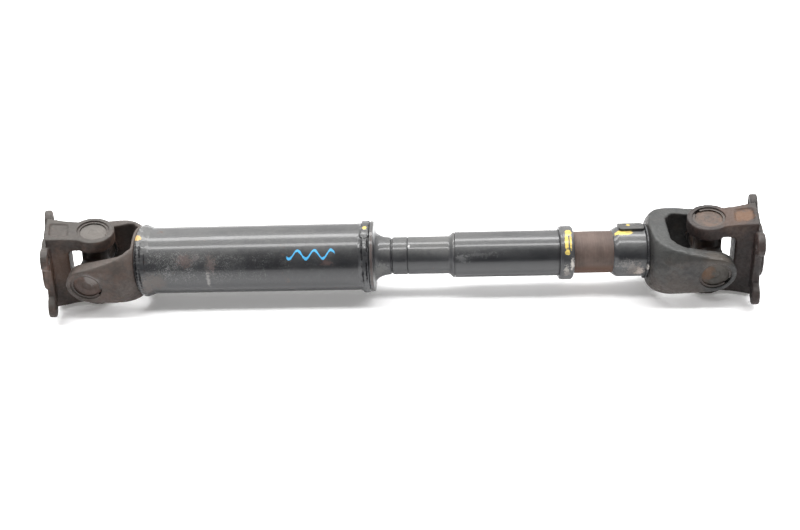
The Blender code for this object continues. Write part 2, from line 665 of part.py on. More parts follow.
def splined_stub(parent):
    """Tube end, neck and male spline in one piece, hollow inside the tube."""
    rim = TUBE_RADIUS + STUB_RIM_RISE
    fillet_end = GROOVE_AT - GROOVE_HALF_WIDTH
    face = STUB_FACE + STUB_DISC
    bell = []
    for step in range(6):
        angle = math.pi / 2 * step / 5
        x = face + (fillet_end - face) * (1 - math.cos(angle))
        bell.append((x, NECK_RADIUS + BELL_RISE * (1 - math.sin(angle))))
    tail = STUB_FACE - STUB_SPIGOT
    outside = [(tail, SPIGOT_RADIUS), (STUB_FACE, SPIGOT_RADIUS), (STUB_FACE, rim), (face, rim)]
    outside += bell
    outside += [
        (GROOVE_AT, NECK_RADIUS - GROOVE_DEPTH),
        (GROOVE_AT + GROOVE_HALF_WIDTH, NECK_RADIUS),
        (SCRIBE_AT - SCRIBE_SIZE, NECK_RADIUS),
        (SCRIBE_AT, NECK_RADIUS - SCRIBE_SIZE),
        (SCRIBE_AT + SCRIBE_SIZE, NECK_RADIUS),
    ]
    rise = DUST_TUBE_RADIUS - NECK_RADIUS
    for step in range(5):
        share = step / 4
        x = SHOULDER_AT - SHOULDER_RUN * (1 - share)
        outside.append((x, NECK_RADIUS + rise * (0.5 - 0.5 * math.cos(math.pi * share))))
    seat_end = SEAT_START + DUST_SEAT_LENGTH
    root_end = seat_end + SPLINE_ROOT_LENGTH
    spline_root = SPLINE_RADIUS - SPLINE_DEPTH
    outside += [
        (SEAT_START, DUST_TUBE_RADIUS),
        (SEAT_START, STUB_SHOULDER_RADIUS),
        (seat_end, STUB_SHOULDER_RADIUS),
        (seat_end, spline_root),
        (root_end, spline_root),
    ]
    inside = SPIGOT_RADIUS - SPIGOT_WALL
    profile = [(root_end, 0)] + list(reversed(outside))
    profile += [(tail, inside), (STUB_FACE, inside), (STUB_FACE + SPIGOT_WALL, 0)]
    piece = along_shaft("splined_stub", profile, BLACK_PAINT, parent)
    start = SHOULDER_AT + SPLINE_SETBACK
    loop = toothed_loop(SPLINE_RADIUS, spline_root, SPLINE_TEETH)
    teeth = place("splined_stub_teeth", outline_mesh("teeth", [loop], (SPLINE_END - start) / 2), None,
                  parent, ((SPLINE_END + start) / 2, 0, 0), (0, 90, 0), cutter=True)
    boolean(piece, teeth, "UNION")


def dust_tube(parent):
    start = SEAT_START + GAP
    points = [(DUST_TUBE_END, DUST_TUBE_RADIUS), (start, DUST_TUBE_RADIUS),
              (start, DUST_TUBE_INNER), (DUST_TUBE_END, DUST_TUBE_INNER)]
    along_shaft("dust_tube", points, BLACK_PAINT, parent, closed=True)


def seal_collar(parent):
    """Pressed over the dust tube's end. Its lip holds the rubber seal in."""
    end = DUST_TUBE_END + COLLAR_OVERHANG
    start = end - COLLAR_LENGTH
    seat = DUST_TUBE_RADIUS + GAP
    lip = SLEEVE_RADIUS + COLLAR_LIP_GAP
    lip_face = end - COLLAR_LIP
    easing = COLLAR_ROUND
    points = [
        (end, lip),
        (end, COLLAR_RADIUS - easing),
        (end - 0.35 * easing, COLLAR_RADIUS - 0.35 * easing),
        (end - easing, COLLAR_RADIUS),
        (start + 0.7 * easing, COLLAR_RADIUS),
        (start + 0.2 * easing, COLLAR_RADIUS - 0.4 * easing),
        (start, COLLAR_RADIUS - 0.9 * easing),
        (start, seat),
        (lip_face, seat),
        (lip_face, lip),
    ]
    along_shaft("seal_collar", points, BLACK_PAINT, parent, closed=True)
    seal_start = DUST_TUBE_END + GAP
    seal_end = lip_face - GAP
    inner = SLEEVE_RADIUS + SLIDE_GAP
    lip_slope = 1.0 * MM
    seal = [(seal_end, inner + lip_slope), (seal_end, DUST_TUBE_RADIUS), (seal_start, DUST_TUBE_RADIUS),
            (seal_start, inner)]
    along_shaft("dust_seal", seal, RUBBER, parent, closed=True)


def slip_sleeve(parent):
    """The sliding sleeve: a bare ground outside, a splined bore and a painted barrel."""
    counterbore = SLIP_YOKE["spigot_radius"] + GAP
    bore = SLEEVE_BORE
    broached = bore - BROACH_DEPTH
    chamfer = 1.0 * MM
    counterbore_at = YOKE_WELD_AT - SLIP_YOKE["spigot_length"] - COUNTERBORE_SPARE
    points = [
        (BARREL_END, counterbore),
        (BARREL_END, BARREL_RADIUS),
        (BARREL_AT + BARREL_CHAMFER, BARREL_RADIUS),
        (BARREL_AT + 0.8 * BARREL_CHAMFER, BARREL_RADIUS - 0.1 * BARREL_CHAMFER),
        (BARREL_AT, SLEEVE_RADIUS + BARREL_STEP),
        (BARREL_AT, SLEEVE_RADIUS),
        (SLEEVE_START + chamfer, SLEEVE_RADIUS),
        (SLEEVE_START, SLEEVE_RADIUS - chamfer),
        (SLEEVE_START, broached),
        (BARREL_AT, broached),
        (BARREL_AT, bore),
        (counterbore_at, bore),
        (counterbore_at, counterbore),
    ]
    piece = along_shaft("slip_sleeve", points, BARE_STEEL, parent, closed=True)
    loop = toothed_loop(SPLINE_RADIUS + GAP, SPLINE_RADIUS - SPLINE_DEPTH + GAP, SPLINE_TEETH)
    overrun = 4 * MM
    start = SLEEVE_START - overrun
    end = BARREL_AT + overrun
    broach = place("slip_sleeve_broach", outline_mesh("broach", [loop], (end - start) / 2), None,
                   parent, ((end + start) / 2, 0, 0), (0, 90, 0), cutter=True)
    boolean(piece, broach, "DIFFERENCE")
    plug_at = counterbore_at - PLUG_SETBACK
    edge = bore - GAP
    plug = [(plug_at + PLUG_THICKNESS, 0), (plug_at + 0.8 * PLUG_THICKNESS, 0.6 * edge),
            (plug_at + 0.4 * PLUG_THICKNESS, edge), (plug_at - 0.4 * PLUG_THICKNESS, edge),
            (plug_at, 0.6 * edge), (plug_at + 0.2 * PLUG_THICKNESS, 0)]
    along_shaft("grease_plug", plug, BARE_STEEL, parent)


def balance_weight(parent):
    """A bent plate spot-welded on the barrel."""
    end = BARREL_END - SLIP_BEAD_LAP - WEIGHT_SETBACK
    start = end - WEIGHT_LENGTH
    inner = BARREL_RADIUS + GAP
    outer = inner + WEIGHT_THICKNESS
    edge = WEIGHT_EDGE
    ring = [(end, outer - edge), (end - edge, outer), (start + edge, outer), (start, outer - edge),
            (start, inner), (end, inner)]
    piece = along_shaft("balance_weight", ring, GREY_STEEL, parent, closed=True, steps=64)
    reach = 2 * BARREL_RADIUS
    half = math.radians(WEIGHT_ARC / 2)
    lean = math.radians(WEIGHT_LEAN)
    wedge = [(0, 0)]
    for angle in (lean - half, lean + half):
        wedge.append((reach * math.sin(angle), reach * math.cos(angle)))
    keep = place("balance_weight_keep", outline_mesh("keep", [wedge], WEIGHT_LENGTH), None, parent,
                 ((start + end) / 2, 0, 0), (90, 0, 90), cutter=True)
    boolean(piece, keep, "INTERSECT")


# ---------------------------------------------------------------- assembly
clear_scene()
parts = new_collection("universal_joint_shaft")
cutters = new_collection("cutters")

BLACK_PAINT = make_material("black_paint", (0.03, 0.032, 0.036), 0.35, 0.0)
FORGED_STEEL = make_material("forged_steel", (0.13, 0.10, 0.09), 0.6, 0.6)
SLIP_YOKE_STEEL = make_material("slip_yoke_steel", (0.09, 0.09, 0.09), 0.6, 0.5)
BARE_STEEL = make_material("bare_steel", (0.22, 0.17, 0.15), 0.4, 0.9)
GREY_STEEL = make_material("grey_steel", (0.30, 0.30, 0.29), 0.45, 0.8)
WELD_METAL = make_material("weld_metal", (0.07, 0.07, 0.075), 0.45, 0.6)
BEARING_STEEL = make_material("bearing_steel", (0.20, 0.16, 0.14), 0.5, 0.8)
SPRING_STEEL = make_material("spring_steel", (0.10, 0.08, 0.07), 0.5, 0.8)
CROSS_STEEL = make_material("cross_steel", (0.08, 0.07, 0.07), 0.5, 0.8)
RUBBER = make_material("rubber", (0.02, 0.02, 0.02), 0.8, 0.0)
BRASS = make_material("brass", (0.55, 0.42, 0.18), 0.35, 0.9)

# the tube-end flange's face is at the origin, so the shaft hangs back from it
tube_end_turn = Matrix.Rotation(math.radians(TUBE_END_TILT), 3, "Y") @ Matrix.Rotation(
    math.radians(TUBE_END_SWING), 3, "Z")
shaft = add_empty("shaft", -(tube_end_turn @ Vector((-MOUNT_REACH, 0, 0))))

tube_end_pivot = add_empty("tube_end_cross_pivot", turn=(0, TUBE_END_TILT, 0), parent=shaft)
tube_end_flange_pivot = add_empty("tube_end_flange_pivot", turn=(0, 0, TUBE_END_SWING + 180),
                                  parent=tube_end_pivot)
slider = add_empty("slip_slider", (CROSS_TO_CROSS, 0, 0), parent=shaft)
slip_end_pivot = add_empty("slip_end_cross_pivot", turn=(0, SLIP_END_TILT, 0), parent=slider)
slip_end_flange_pivot = add_empty("slip_end_flange_pivot", turn=(0, 0, SLIP_END_SWING),
                                  parent=slip_end_pivot)
slip_yoke_frame = add_empty("slip_yoke_frame", turn=(0, 0, 180), parent=slider)
slip_sleeve_frame = add_empty("slip_sleeve_frame", (-CROSS_TO_CROSS, 0, 0), parent=slider)

for prefix, flange_pivot, cross_pivot, yoke_parent in (
        ("tube_end", tube_end_flange_pivot, tube_end_pivot, shaft),
        ("slip_end", slip_end_flange_pivot, slip_end_pivot, slider)):
    flange_yoke(prefix, flange_pivot)
    fit_bearings(prefix, ("top", "bottom"), flange_pivot)
    cross(prefix, cross_pivot)
    grease_nipple(prefix, cross_pivot)
    fit_bearings(prefix, ("front", "rear"), yoke_parent)

shaft_yoke("tube_yoke", TUBE_YOKE, FORGED_STEEL, shaft)
bead_start = TUBE_YOKE_SHOULDER + GAP
weld_bead("tube_yoke_weld_bead", bead_start + BEAD_WIDTH / 2, BEAD_WIDTH, TUBE_RADIUS, shaft)
main_tube(shaft)
bead_end = STUB_FACE - GAP
weld_bead("stub_weld_bead", bead_end - STUB_BEAD_WIDTH / 2, STUB_BEAD_WIDTH, TUBE_RADIUS, shaft)
splined_stub(shaft)
dust_tube(shaft)
seal_collar(shaft)

slip_sleeve(slip_sleeve_frame)
balance_weight(slip_sleeve_frame)
weld_bead("slip_yoke_weld_bead", BARREL_END - SLIP_BEAD_LAP + SLIP_BEAD_WIDTH / 2, SLIP_BEAD_WIDTH,
          SLIP_YOKE["round"], slip_sleeve_frame, SLIP_BEAD_HEIGHT)
shaft_yoke("slip_yoke", SLIP_YOKE, SLIP_YOKE_STEEL, slip_yoke_frame)
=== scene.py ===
import json
import math

import bmesh
import bpy
from mathutils import Matrix, Vector

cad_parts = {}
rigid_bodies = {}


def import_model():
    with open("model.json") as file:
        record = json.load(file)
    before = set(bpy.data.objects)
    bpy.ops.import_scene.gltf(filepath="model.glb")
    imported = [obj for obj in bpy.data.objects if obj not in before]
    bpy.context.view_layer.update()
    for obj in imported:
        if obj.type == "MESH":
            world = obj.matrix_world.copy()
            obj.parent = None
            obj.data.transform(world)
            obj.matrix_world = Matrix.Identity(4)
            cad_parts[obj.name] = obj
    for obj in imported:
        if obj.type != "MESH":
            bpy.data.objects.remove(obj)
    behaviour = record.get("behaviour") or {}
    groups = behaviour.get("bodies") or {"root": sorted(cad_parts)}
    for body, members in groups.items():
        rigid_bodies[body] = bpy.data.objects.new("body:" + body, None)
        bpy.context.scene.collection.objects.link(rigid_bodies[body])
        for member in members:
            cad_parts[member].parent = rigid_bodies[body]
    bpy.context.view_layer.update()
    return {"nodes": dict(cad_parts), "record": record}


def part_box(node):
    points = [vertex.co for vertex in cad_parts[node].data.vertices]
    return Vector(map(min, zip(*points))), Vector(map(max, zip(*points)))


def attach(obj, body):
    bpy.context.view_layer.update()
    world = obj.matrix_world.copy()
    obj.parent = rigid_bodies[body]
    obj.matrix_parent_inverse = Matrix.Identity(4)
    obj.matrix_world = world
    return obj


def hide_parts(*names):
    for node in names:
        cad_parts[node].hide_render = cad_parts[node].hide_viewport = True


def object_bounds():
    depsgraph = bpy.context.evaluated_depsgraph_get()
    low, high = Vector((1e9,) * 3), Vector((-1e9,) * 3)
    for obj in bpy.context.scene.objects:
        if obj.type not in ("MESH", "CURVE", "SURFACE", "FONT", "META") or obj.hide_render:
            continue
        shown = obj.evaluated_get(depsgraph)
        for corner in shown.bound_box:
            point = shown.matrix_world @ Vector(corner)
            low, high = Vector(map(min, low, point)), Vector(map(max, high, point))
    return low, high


mm = 0.001
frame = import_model()
print("frame loaded")

joints = {joint["name"]: joint for joint in frame["record"]["behaviour"]["joints"]}
mounts = {mount["name"]: mount for mount in frame["record"]["mounts"]}
tubeCross = Vector(joints["tube_end_nod"]["pos_m"])
slipCross = Vector(joints["slip_end_nod"]["pos_m"])
workshop = bpy.data.collections.new("workshop")
bpy.context.scene.collection.children.link(workshop)


# where each piece sits
def axesFrame(origin, along, up):
    along = Vector(along).normalized()
    side = Vector(up).cross(along).normalized()
    up = along.cross(side)
    return Matrix.Translation(origin) @ Matrix((along, side, up)).transposed().to_4x4()


# +X of a flange's frame points out of the flange, +Z through its upper cup
seatOf = {
    "shaft": Matrix.Translation(tubeCross),
    "tubeFlange": axesFrame(tubeCross, mounts["tube_end_flange_face"]["axis"],
                            joints["tube_end_swing"]["axis"]),
    "slipFlange": axesFrame(slipCross, mounts["slip_end_flange_face"]["axis"],
                            joints["slip_end_swing"]["axis"]),
    "tubeYoke": Matrix.Translation(tubeCross),
    "slipYoke": Matrix.Translation(slipCross),
    "tubeCross": axesFrame(tubeCross, Vector((0, 1, 0)).cross(Vector(joints["tube_end_swing"]["axis"])),
                           joints["tube_end_swing"]["axis"]),
    "slipCross": axesFrame(slipCross, Vector((0, 1, 0)).cross(Vector(joints["slip_end_swing"]["axis"])),
                           joints["slip_end_swing"]["axis"]),
}
bearingFace = 39 * mm       # how far out the cups sit from a cross
pointZAlong = {
    "x": Matrix.Rotation(math.pi / 2, 4, "Y"),
    "top": Matrix.Identity(4),
    "bottom": Matrix.Rotation(math.pi, 4, "X"),
    "front": Matrix.Rotation(math.pi / 2, 4, "X"),
    "rear": Matrix.Rotation(-math.pi / 2, 4, "X"),
}


def spanOf(node):
    # where a turned piece starts and ends along the shaft from the tube-end cross, and its radius, in mm
    low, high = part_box(node)
    return (low[0] - tubeCross.x) / mm, (high[0] - tubeCross.x) / mm, (high[2] - low[2]) / 2 / mm


# mesh tools: plain functions that every piece below is made with
def newObject(name, mesh):
    made = bpy.data.objects.new(name, mesh)
    workshop.objects.link(made)
    return made


def meshFrom(work, name):
    mesh = bpy.data.meshes.new(name)
    work.to_mesh(mesh)
    work.free()
    return mesh


def baked(thing):
    # the object's modifiers become plain mesh
    graph = bpy.context.evaluated_depsgraph_get()
    mesh = bpy.data.meshes.new_from_object(thing.evaluated_get(graph))
    thing.modifiers.clear()
    thing.data = mesh
    return thing


def smoothShade(mesh, angle=38):
    mesh.shade_smooth()
    mesh.set_sharp_from_angle(angle=math.radians(angle))


def roundedLine(points, size, closed=False):
    # a (distance, radius) line with every corner eased by up to size
    result = []
    count = len(points)
    for index, point in enumerate(points):
        here = Vector(point[:2])
        ease = point[2] if len(point) > 2 else size
        if not closed and index in (0, count - 1) or ease == 0:
            result.append(tuple(here))
            continue
        back = Vector(points[index - 1][:2]) - here
        ahead = Vector(points[(index + 1) % count][:2]) - here
        reach = min(ease, back.length * 0.45, ahead.length * 0.45)
        start = here + back.normalized() * reach
        end = here + ahead.normalized() * reach
        for step in range(4):
            t = step / 3
            result.append(tuple(start * (1 - t) ** 2 + here * 2 * t * (1 - t) + end * t ** 2))
    return result


def latheMesh(name, points, steps=96, closed=False, ease=0.3 * mm):
    # turns (distance along Z, radius) about Z; radius 0 closes on a pole
    line = roundedLine(points, ease, closed)
    work = bmesh.new()
    rows = []
    for distance, radius in line:
        if radius < 0.00001:
            rows.append([work.verts.new((0, 0, distance))])
            continue
        turns = [2 * math.pi * step / steps for step in range(steps)]
        rows.append([work.verts.new((radius * math.cos(turn), radius * math.sin(turn), distance))
                     for turn in turns])
    pairs = list(zip(rows, rows[1:]))
    if closed:
        pairs.append((rows[-1], rows[0]))
    for first, second in pairs:
        for step in range(steps):
            after = (step + 1) % steps
            corners = []
            for row, at in ((first, step), (first, after), (second, after), (second, step)):
                corner = row[at] if len(row) > 1 else row[0]
                if corner not in corners:
                    corners.append(corner)
            if len(corners) > 2:
                work.faces.new(corners)
    bmesh.ops.recalc_face_normals(work, faces=work.faces)
    return meshFrom(work, name)


def joinedMesh(name, meshes):
    work = bmesh.new()
    for mesh in meshes:
        work.from_mesh(mesh)
    return meshFrom(work, name)


def finish(name, mesh, material, body, nodes=(), place=None, angle=38):
    # a finished piece: placed in its mesh, painted, riding, standing for its CAD nodes
    if place is not None:
        mesh.transform(place)
    mesh.name = name
    smoothShade(mesh, angle)
    mesh.materials.clear()
    for one in material if isinstance(material, (list, tuple)) else (material,):
        mesh.materials.append(one)
    thing = bpy.data.objects.new(name, mesh)
    bpy.context.scene.collection.objects.link(thing)
    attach(thing, body)
    if nodes:
        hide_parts(*nodes)
    return thing


def mergedCad(node):
    # a merged copy of a CAD node's mesh
    work = bmesh.new()
    work.from_mesh(frame["nodes"][node].data)
    bmesh.ops.remove_doubles(work, verts=work.verts, dist=0.000002)
    bmesh.ops.recalc_face_normals(work, faces=work.faces)
    return meshFrom(work, node)


# shader tools: one function for each kind of node that comes up often
def put(tree, kind, inputs=None, **settings):
    made = tree.nodes.new(kind)
    for key, value in settings.items():
        setattr(made, key, value)
    for socket, value in (inputs or {}).items():
        if isinstance(value, bpy.types.NodeSocket):
            tree.links.new(value, made.inputs[socket])
        else:
            made.inputs[socket].default_value = value
    return made


def add(tree, kind, inputs=None, **settings):
    return put(tree, "ShaderNode" + kind, inputs, **settings)


def maths(tree, operation, first, second=0.0, clamp=False):
    return add(tree, "Math", {0: first, 1: second}, operation=operation, use_clamp=clamp).outputs[0]


def times(tree, first, second):
    return maths(tree, "MULTIPLY", first, second)


def between(tree, value, low, high, outLow=0.0, outHigh=1.0):
    made = add(tree, "MapRange", {"Value": value, "From Min": low, "From Max": high,
                                  "To Min": outLow, "To Max": outHigh}, interpolation_type="SMOOTHSTEP")
    return made.outputs["Result"]


def blended(tree, share, first, second, kind="MIX"):
    made = add(tree, "Mix", {0: share}, data_type="RGBA", blend_type=kind)
    for socket, value in ((6, first), (7, second)):
        if isinstance(value, bpy.types.NodeSocket):
            tree.links.new(value, made.inputs[socket])
        else:
            made.inputs[socket].default_value = (*value, 1.0)
    return made.outputs[2]


def noiseAt(tree, place, scale, detail=4.0, rough=0.55, stretch=None, warp=0.0):
    if stretch:
        place = add(tree, "Mapping", {"Vector": place, "Scale": stretch}).outputs[0]
    made = add(tree, "TexNoise", {"Vector": place, "Scale": scale, "Detail": detail,
                                  "Roughness": rough, "Distortion": warp})
    return made.outputs["Fac"]


def startMaterial(name, specular=0.5):
    material = bpy.data.materials.new(name)
    material.use_nodes = True
    tree = material.node_tree
    shader = tree.nodes["Principled BSDF"]
    shader.inputs["Specular IOR Level"].default_value = specular
    place = add(tree, "TexCoord").outputs["Object"]
    return material, tree, shader, place


def shaftPlace(tree, place):
    # object coordinates about the shaft's axis: x from the tube-end cross, and the angle from
    # the top towards the front, in degrees
    moved = add(tree, "Mapping", {"Vector": place, "Location": -tubeCross}).outputs[0]
    x, y, z = add(tree, "SeparateXYZ", {0: moved}).outputs
    turn = maths(tree, "ARCTAN2", times(tree, y, -1.0), z)
    return x, times(tree, turn, 180 / math.pi)


def facingUp(tree):
    return add(tree, "SeparateXYZ", {0: add(tree, "TexCoord").outputs["Normal"]}).outputs[2]


def wobbled(tree, value, noise, amount):
    return maths(tree, "ADD", value, times(tree, maths(tree, "SUBTRACT", noise, 0.5), amount))


def patch(tree, along, turn, centre, half, edge, ragged, rag):
    # a soft-edged oval on a round: centre and half sizes as (mm along, degrees round)
    one = maths(tree, "DIVIDE", maths(tree, "SUBTRACT", along, centre[0] * mm), half[0] * mm)
    two = maths(tree, "DIVIDE", maths(tree, "SUBTRACT", turn, centre[1]), half[1])
    flat = add(tree, "CombineXYZ", {0: one, 1: two}).outputs[0]
    far = add(tree, "VectorMath", {0: flat}, operation="LENGTH").outputs["Value"]
    return between(tree, wobbled(tree, far, ragged, rag), 1.0 - edge, 1.0, 1.0, 0.0)


def setBump(tree, shader, layers):
    # layers of (height, strength, distance in mm), the broadest first
    normal = None
    for height, strength, distance in layers:
        made = add(tree, "Bump", {"Height": height, "Strength": strength, "Distance": distance * mm})
        if normal is not None:
            tree.links.new(normal, made.inputs["Normal"])
        normal = made.outputs[0]
    tree.links.new(normal, shader.inputs["Normal"])


# black paint on the turned pieces, with dust that also serves as a painted sheen on the tops, specks, scuffs
# and marks
blackPaint = {
    "deep": (0.0055, 0.0060, 0.0080),
    "worn": (0.026, 0.027, 0.030),
    # the dust colour also serves as a painted sheen on the upward faces
    "dust": (0.125, 0.122, 0.114),
    "speck": (0.27, 0.27, 0.26),
    # near-black painted shade for the grooves in the weld beads
    "grooveShade": (0.004, 0.004, 0.005),
    "rust": (0.085, 0.045, 0.033),
    "yellow": (0.52, 0.39, 0.085),
    "orange": (0.42, 0.27, 0.085),
    "blue": (0.055, 0.33, 0.60),
    "shine": 0.5,
    "coat": 0.45,
    "coatRoughness": 0.13,
}
# noise scales, in lumps to the metre
paintGrain = {"dents": 12, "rustCloud": 13, "broad": 22, "lengthways": 60, "speckCloud": 70, "chips": 90,
              "lumps": 190, "ragged": 230, "bristles": 330, "fine": 420, "torn": 420}
# where the specks lie: (mm along or degrees round, full and none), then the size, fullness and paleness
speckField = {"near": (55, 260), "above": (22, 46), "below": (128, 74),
              "sizes": ((760, 0.31, 0.62), (1400, 0.45, 0.60))}
wavyStroke = {"period": 16.0, "swing": 7.0, "turn": 46.0, "middle": 216.5, "half": 22.0, "thick": 1.5,
              "edge": 1.3, "ragged": 7.0}


# dust sets how much dust, and with it painted sheen, lies on the upward faces
def makeBlackPaint(name, specks=0.0, wear=0.35, dust=0.25, rough=0.36, rust=0.3, marks=(), spots=(),
                   stroke=False, lumpy=0.0, shadedGrooves=()):
    material, tree, shader, place = startMaterial(name, blackPaint["shine"])
    along, turn = shaftPlace(tree, place)
    broad = noiseAt(tree, place, paintGrain["broad"], 5)
    fine = noiseAt(tree, place, paintGrain["fine"], 4, 0.6)
    ragged = noiseAt(tree, place, paintGrain["ragged"], 6, 0.75)
    lengthways = noiseAt(tree, place, paintGrain["lengthways"], 5, 0.6, stretch=(0.12, 1.0, 1.0))
    colour = blended(tree, between(tree, broad, 0.35, 0.75, 0.0, wear), blackPaint["deep"],
                     blackPaint["worn"])
    colour = blended(tree, between(tree, lengthways, 0.54, 0.76, 0.0, wear), colour, blackPaint["worn"])
    gloss = between(tree, broad, 0.3, 0.8, rough - 0.04, rough + 0.12)
    layers = [(noiseAt(tree, place, paintGrain["dents"], 2), 0.25, 0.5), (broad, 0.20, 0.5)]
    if lumpy > 0:
        layers.append((noiseAt(tree, place, paintGrain["lumps"], 5, 0.6), lumpy, 0.5))
    layers.append((fine, 0.16, 0.12))

    def cover(mask, tint, dull, *bump):
        # one more film on top, duller than the paint, with its own bump
        nonlocal colour, gloss
        colour = blended(tree, mask, colour, tint)
        gloss = maths(tree, "ADD", gloss, times(tree, mask, dull), True)
        if bump:
            height, strength, distance = bump
            layers.append((times(tree, mask, height), strength, distance))

    # dust on the upward faces, which also paints a sheen that lightens the tops, and thin rust where the
    # paint has gone
    dustAndSheenOnTop = times(tree, between(tree, facingUp(tree), 0.35, 1.0),
                    between(tree, maths(tree, "ADD", ragged, broad), 0.75, 1.25, 0.35, 1.0))
    cover(times(tree, dustAndSheenOnTop, dust), blackPaint["dust"], 0.5)
    chips = times(tree, between(tree, noiseAt(tree, place, paintGrain["chips"], 8, 0.72), 0.60, 0.68),
                  between(tree, noiseAt(tree, place, paintGrain["rustCloud"], 3), 0.50, 0.62))
    cover(times(tree, chips, rust), blackPaint["rust"], 0.35)
    if specks > 0:
        # pale specks, thickest at the joint end and on the side that faces front
        full, none = speckField["near"]
        near = between(tree, along, full * mm, none * mm, 1.0, 0.45)
        facing = times(tree, between(tree, turn, *speckField["above"]),
                       between(tree, turn, *speckField["below"]))
        cloud = between(tree, noiseAt(tree, place, paintGrain["speckCloud"], 6, 0.75), 0.36, 0.62, 0.40, 1.0)
        crowd = times(tree, times(tree, times(tree, near, facing), specks), cloud)
        for scale, most, pale in speckField["sizes"]:
            cells = add(tree, "TexVoronoi", {"Vector": place, "Scale": scale, "Randomness": 1.0})
            limit = times(tree, crowd, most)
            dot = between(tree, maths(tree, "SUBTRACT", limit, cells.outputs["Distance"]), 0.0, 0.08)
            colour = blended(tree, times(tree, dot, pale), colour, blackPaint["speck"])
            gloss = maths(tree, "ADD", gloss, times(tree, dot, 0.4), True)
            layers.append((times(tree, dot, -1.0), 0.5, 0.12))
    torn = noiseAt(tree, place, paintGrain["torn"], 7, 0.8)
    for centre, half, tint, share, rag in spots:
        cover(times(tree, patch(tree, along, turn, centre, half, 0.6, torn, rag), share), tint, 0.3)
    # painted shade in the weld's grooves: near-black lines with no shine, also pressed in by bump
    shine = None
    for centre, half, share in shadedGrooves:
        mask = times(tree, patch(tree, along, turn, centre, half, 0.6, torn, 3.6), share)
        colour = blended(tree, mask, colour, blackPaint["grooveShade"])
        left = maths(tree, "SUBTRACT", 1.0, mask)
        shine = left if shine is None else times(tree, shine, left)
        layers.append((times(tree, mask, -1.0), 0.8, 0.4))
    # dabs of marker paint, broken up as a dry brush leaves them
    bristles = noiseAt(tree, place, paintGrain["bristles"], 4, 0.7, stretch=(0.35, 1.0, 1.0))
    for centre, half, tint in marks:
        mask = times(tree, patch(tree, along, turn, centre, half, 0.22, ragged, 1.5),
                     between(tree, bristles, 0.34, 0.50, 0.25, 1.0))
        cover(mask, blackPaint[tint], 0.2, 1.0, 0.4, 0.12)
    if stroke:
        # a plain wavy stroke of marker
        wave = maths(tree, "SINE", times(tree, along, 2 * math.pi / (wavyStroke["period"] * mm)))
        middle = maths(tree, "ADD", times(tree, wave, wavyStroke["swing"]), wavyStroke["turn"])
        off = maths(tree, "ABSOLUTE", maths(tree, "SUBTRACT", turn, middle))
        off = wobbled(tree, off, ragged, wavyStroke["ragged"])
        thick, half = wavyStroke["thick"], wavyStroke["half"]
        reach = maths(tree, "ABSOLUTE", maths(tree, "SUBTRACT", along, wavyStroke["middle"] * mm))
        line = times(tree, between(tree, off, thick, thick + wavyStroke["edge"], 1.0, 0.0),
                     between(tree, reach, half * mm, (half + 1.5) * mm, 1.0, 0.0))
        colour = blended(tree, line, colour, blackPaint["blue"])
    tree.links.new(colour, shader.inputs["Base Color"])
    tree.links.new(gloss, shader.inputs["Roughness"])
    shader.inputs["Coat Weight"].default_value = blackPaint["coat"]
    shader.inputs["Coat Roughness"].default_value = blackPaint["coatRoughness"]
    if shine is not None:
        for socket, most in (("Specular IOR Level", "shine"), ("Coat Weight", "coat")):
            tree.links.new(times(tree, shine, blackPaint[most]), shader.inputs[socket])
    setBump(tree, shader, layers)
    return material


# forged and rusted steel
forgedGrain = {"cloud": 18, "broad": 45, "hammered": 140, "ragged": 150, "fine": 330, "flecks": 900}


def makeForged(name, dark, light, dust, rust, rustShare=0.5, dustShare=0.5, rough=0.62, grain=1.0,
               specular=0.4, flecks=0.35, patches=()):
    material, tree, shader, place = startMaterial(name, specular)
    broad = noiseAt(tree, place, forgedGrain["broad"], 6, 0.62)
    fine = noiseAt(tree, place, forgedGrain["fine"], 6, 0.68)
    cloud = noiseAt(tree, place, forgedGrain["cloud"], 5, 0.62)
    ragged = noiseAt(tree, place, forgedGrain["ragged"], 7, 0.75)
    colour = blended(tree, between(tree, broad, 0.34, 0.66), dark, light)
    colour = blended(tree, between(tree, fine, 0.42, 0.68, 0.0, 0.45), colour, dark)
    rusty = times(tree, between(tree, cloud, 0.44, 0.64), between(tree, ragged, 0.38, 0.60))
    colour = blended(tree, times(tree, rusty, rustShare), colour, rust)
    dusty = times(tree, between(tree, facingUp(tree), 0.15, 0.85),
                  between(tree, maths(tree, "ADD", fine, ragged), 0.70, 1.15, 0.25, 1.0))
    dusty = times(tree, dusty, dustShare)
    colour = blended(tree, dusty, colour, dust)
    for centre, radius, tint, share in patches:
        far = add(tree, "VectorMath", {0: place, 1: centre}, operation="DISTANCE").outputs["Value"]
        far = wobbled(tree, maths(tree, "DIVIDE", far, radius), ragged, 1.9)
        mask = times(tree, between(tree, far, 0.50, 1.05, 1.0, 0.0), share)
        colour = blended(tree, mask, colour, tint)
    speck = between(tree, noiseAt(tree, place, forgedGrain["flecks"], 3, 0.6), 0.64, 0.73)
    colour = blended(tree, times(tree, speck, flecks), colour, dust)
    tree.links.new(colour, shader.inputs["Base Color"])
    tree.links.new(between(tree, fine, 0.3, 0.7, rough - 0.12, rough + 0.14), shader.inputs["Roughness"])
    hammered = noiseAt(tree, place, forgedGrain["hammered"], 5)
    setBump(tree, shader, [(broad, 0.40 * grain, 0.8), (hammered, 0.55 * grain, 0.5),
                           (fine, 0.60 * grain, 0.25)])
    return material


def fromCross(cross, x, y, z):
    return cross + Vector((x, y, z)) * mm


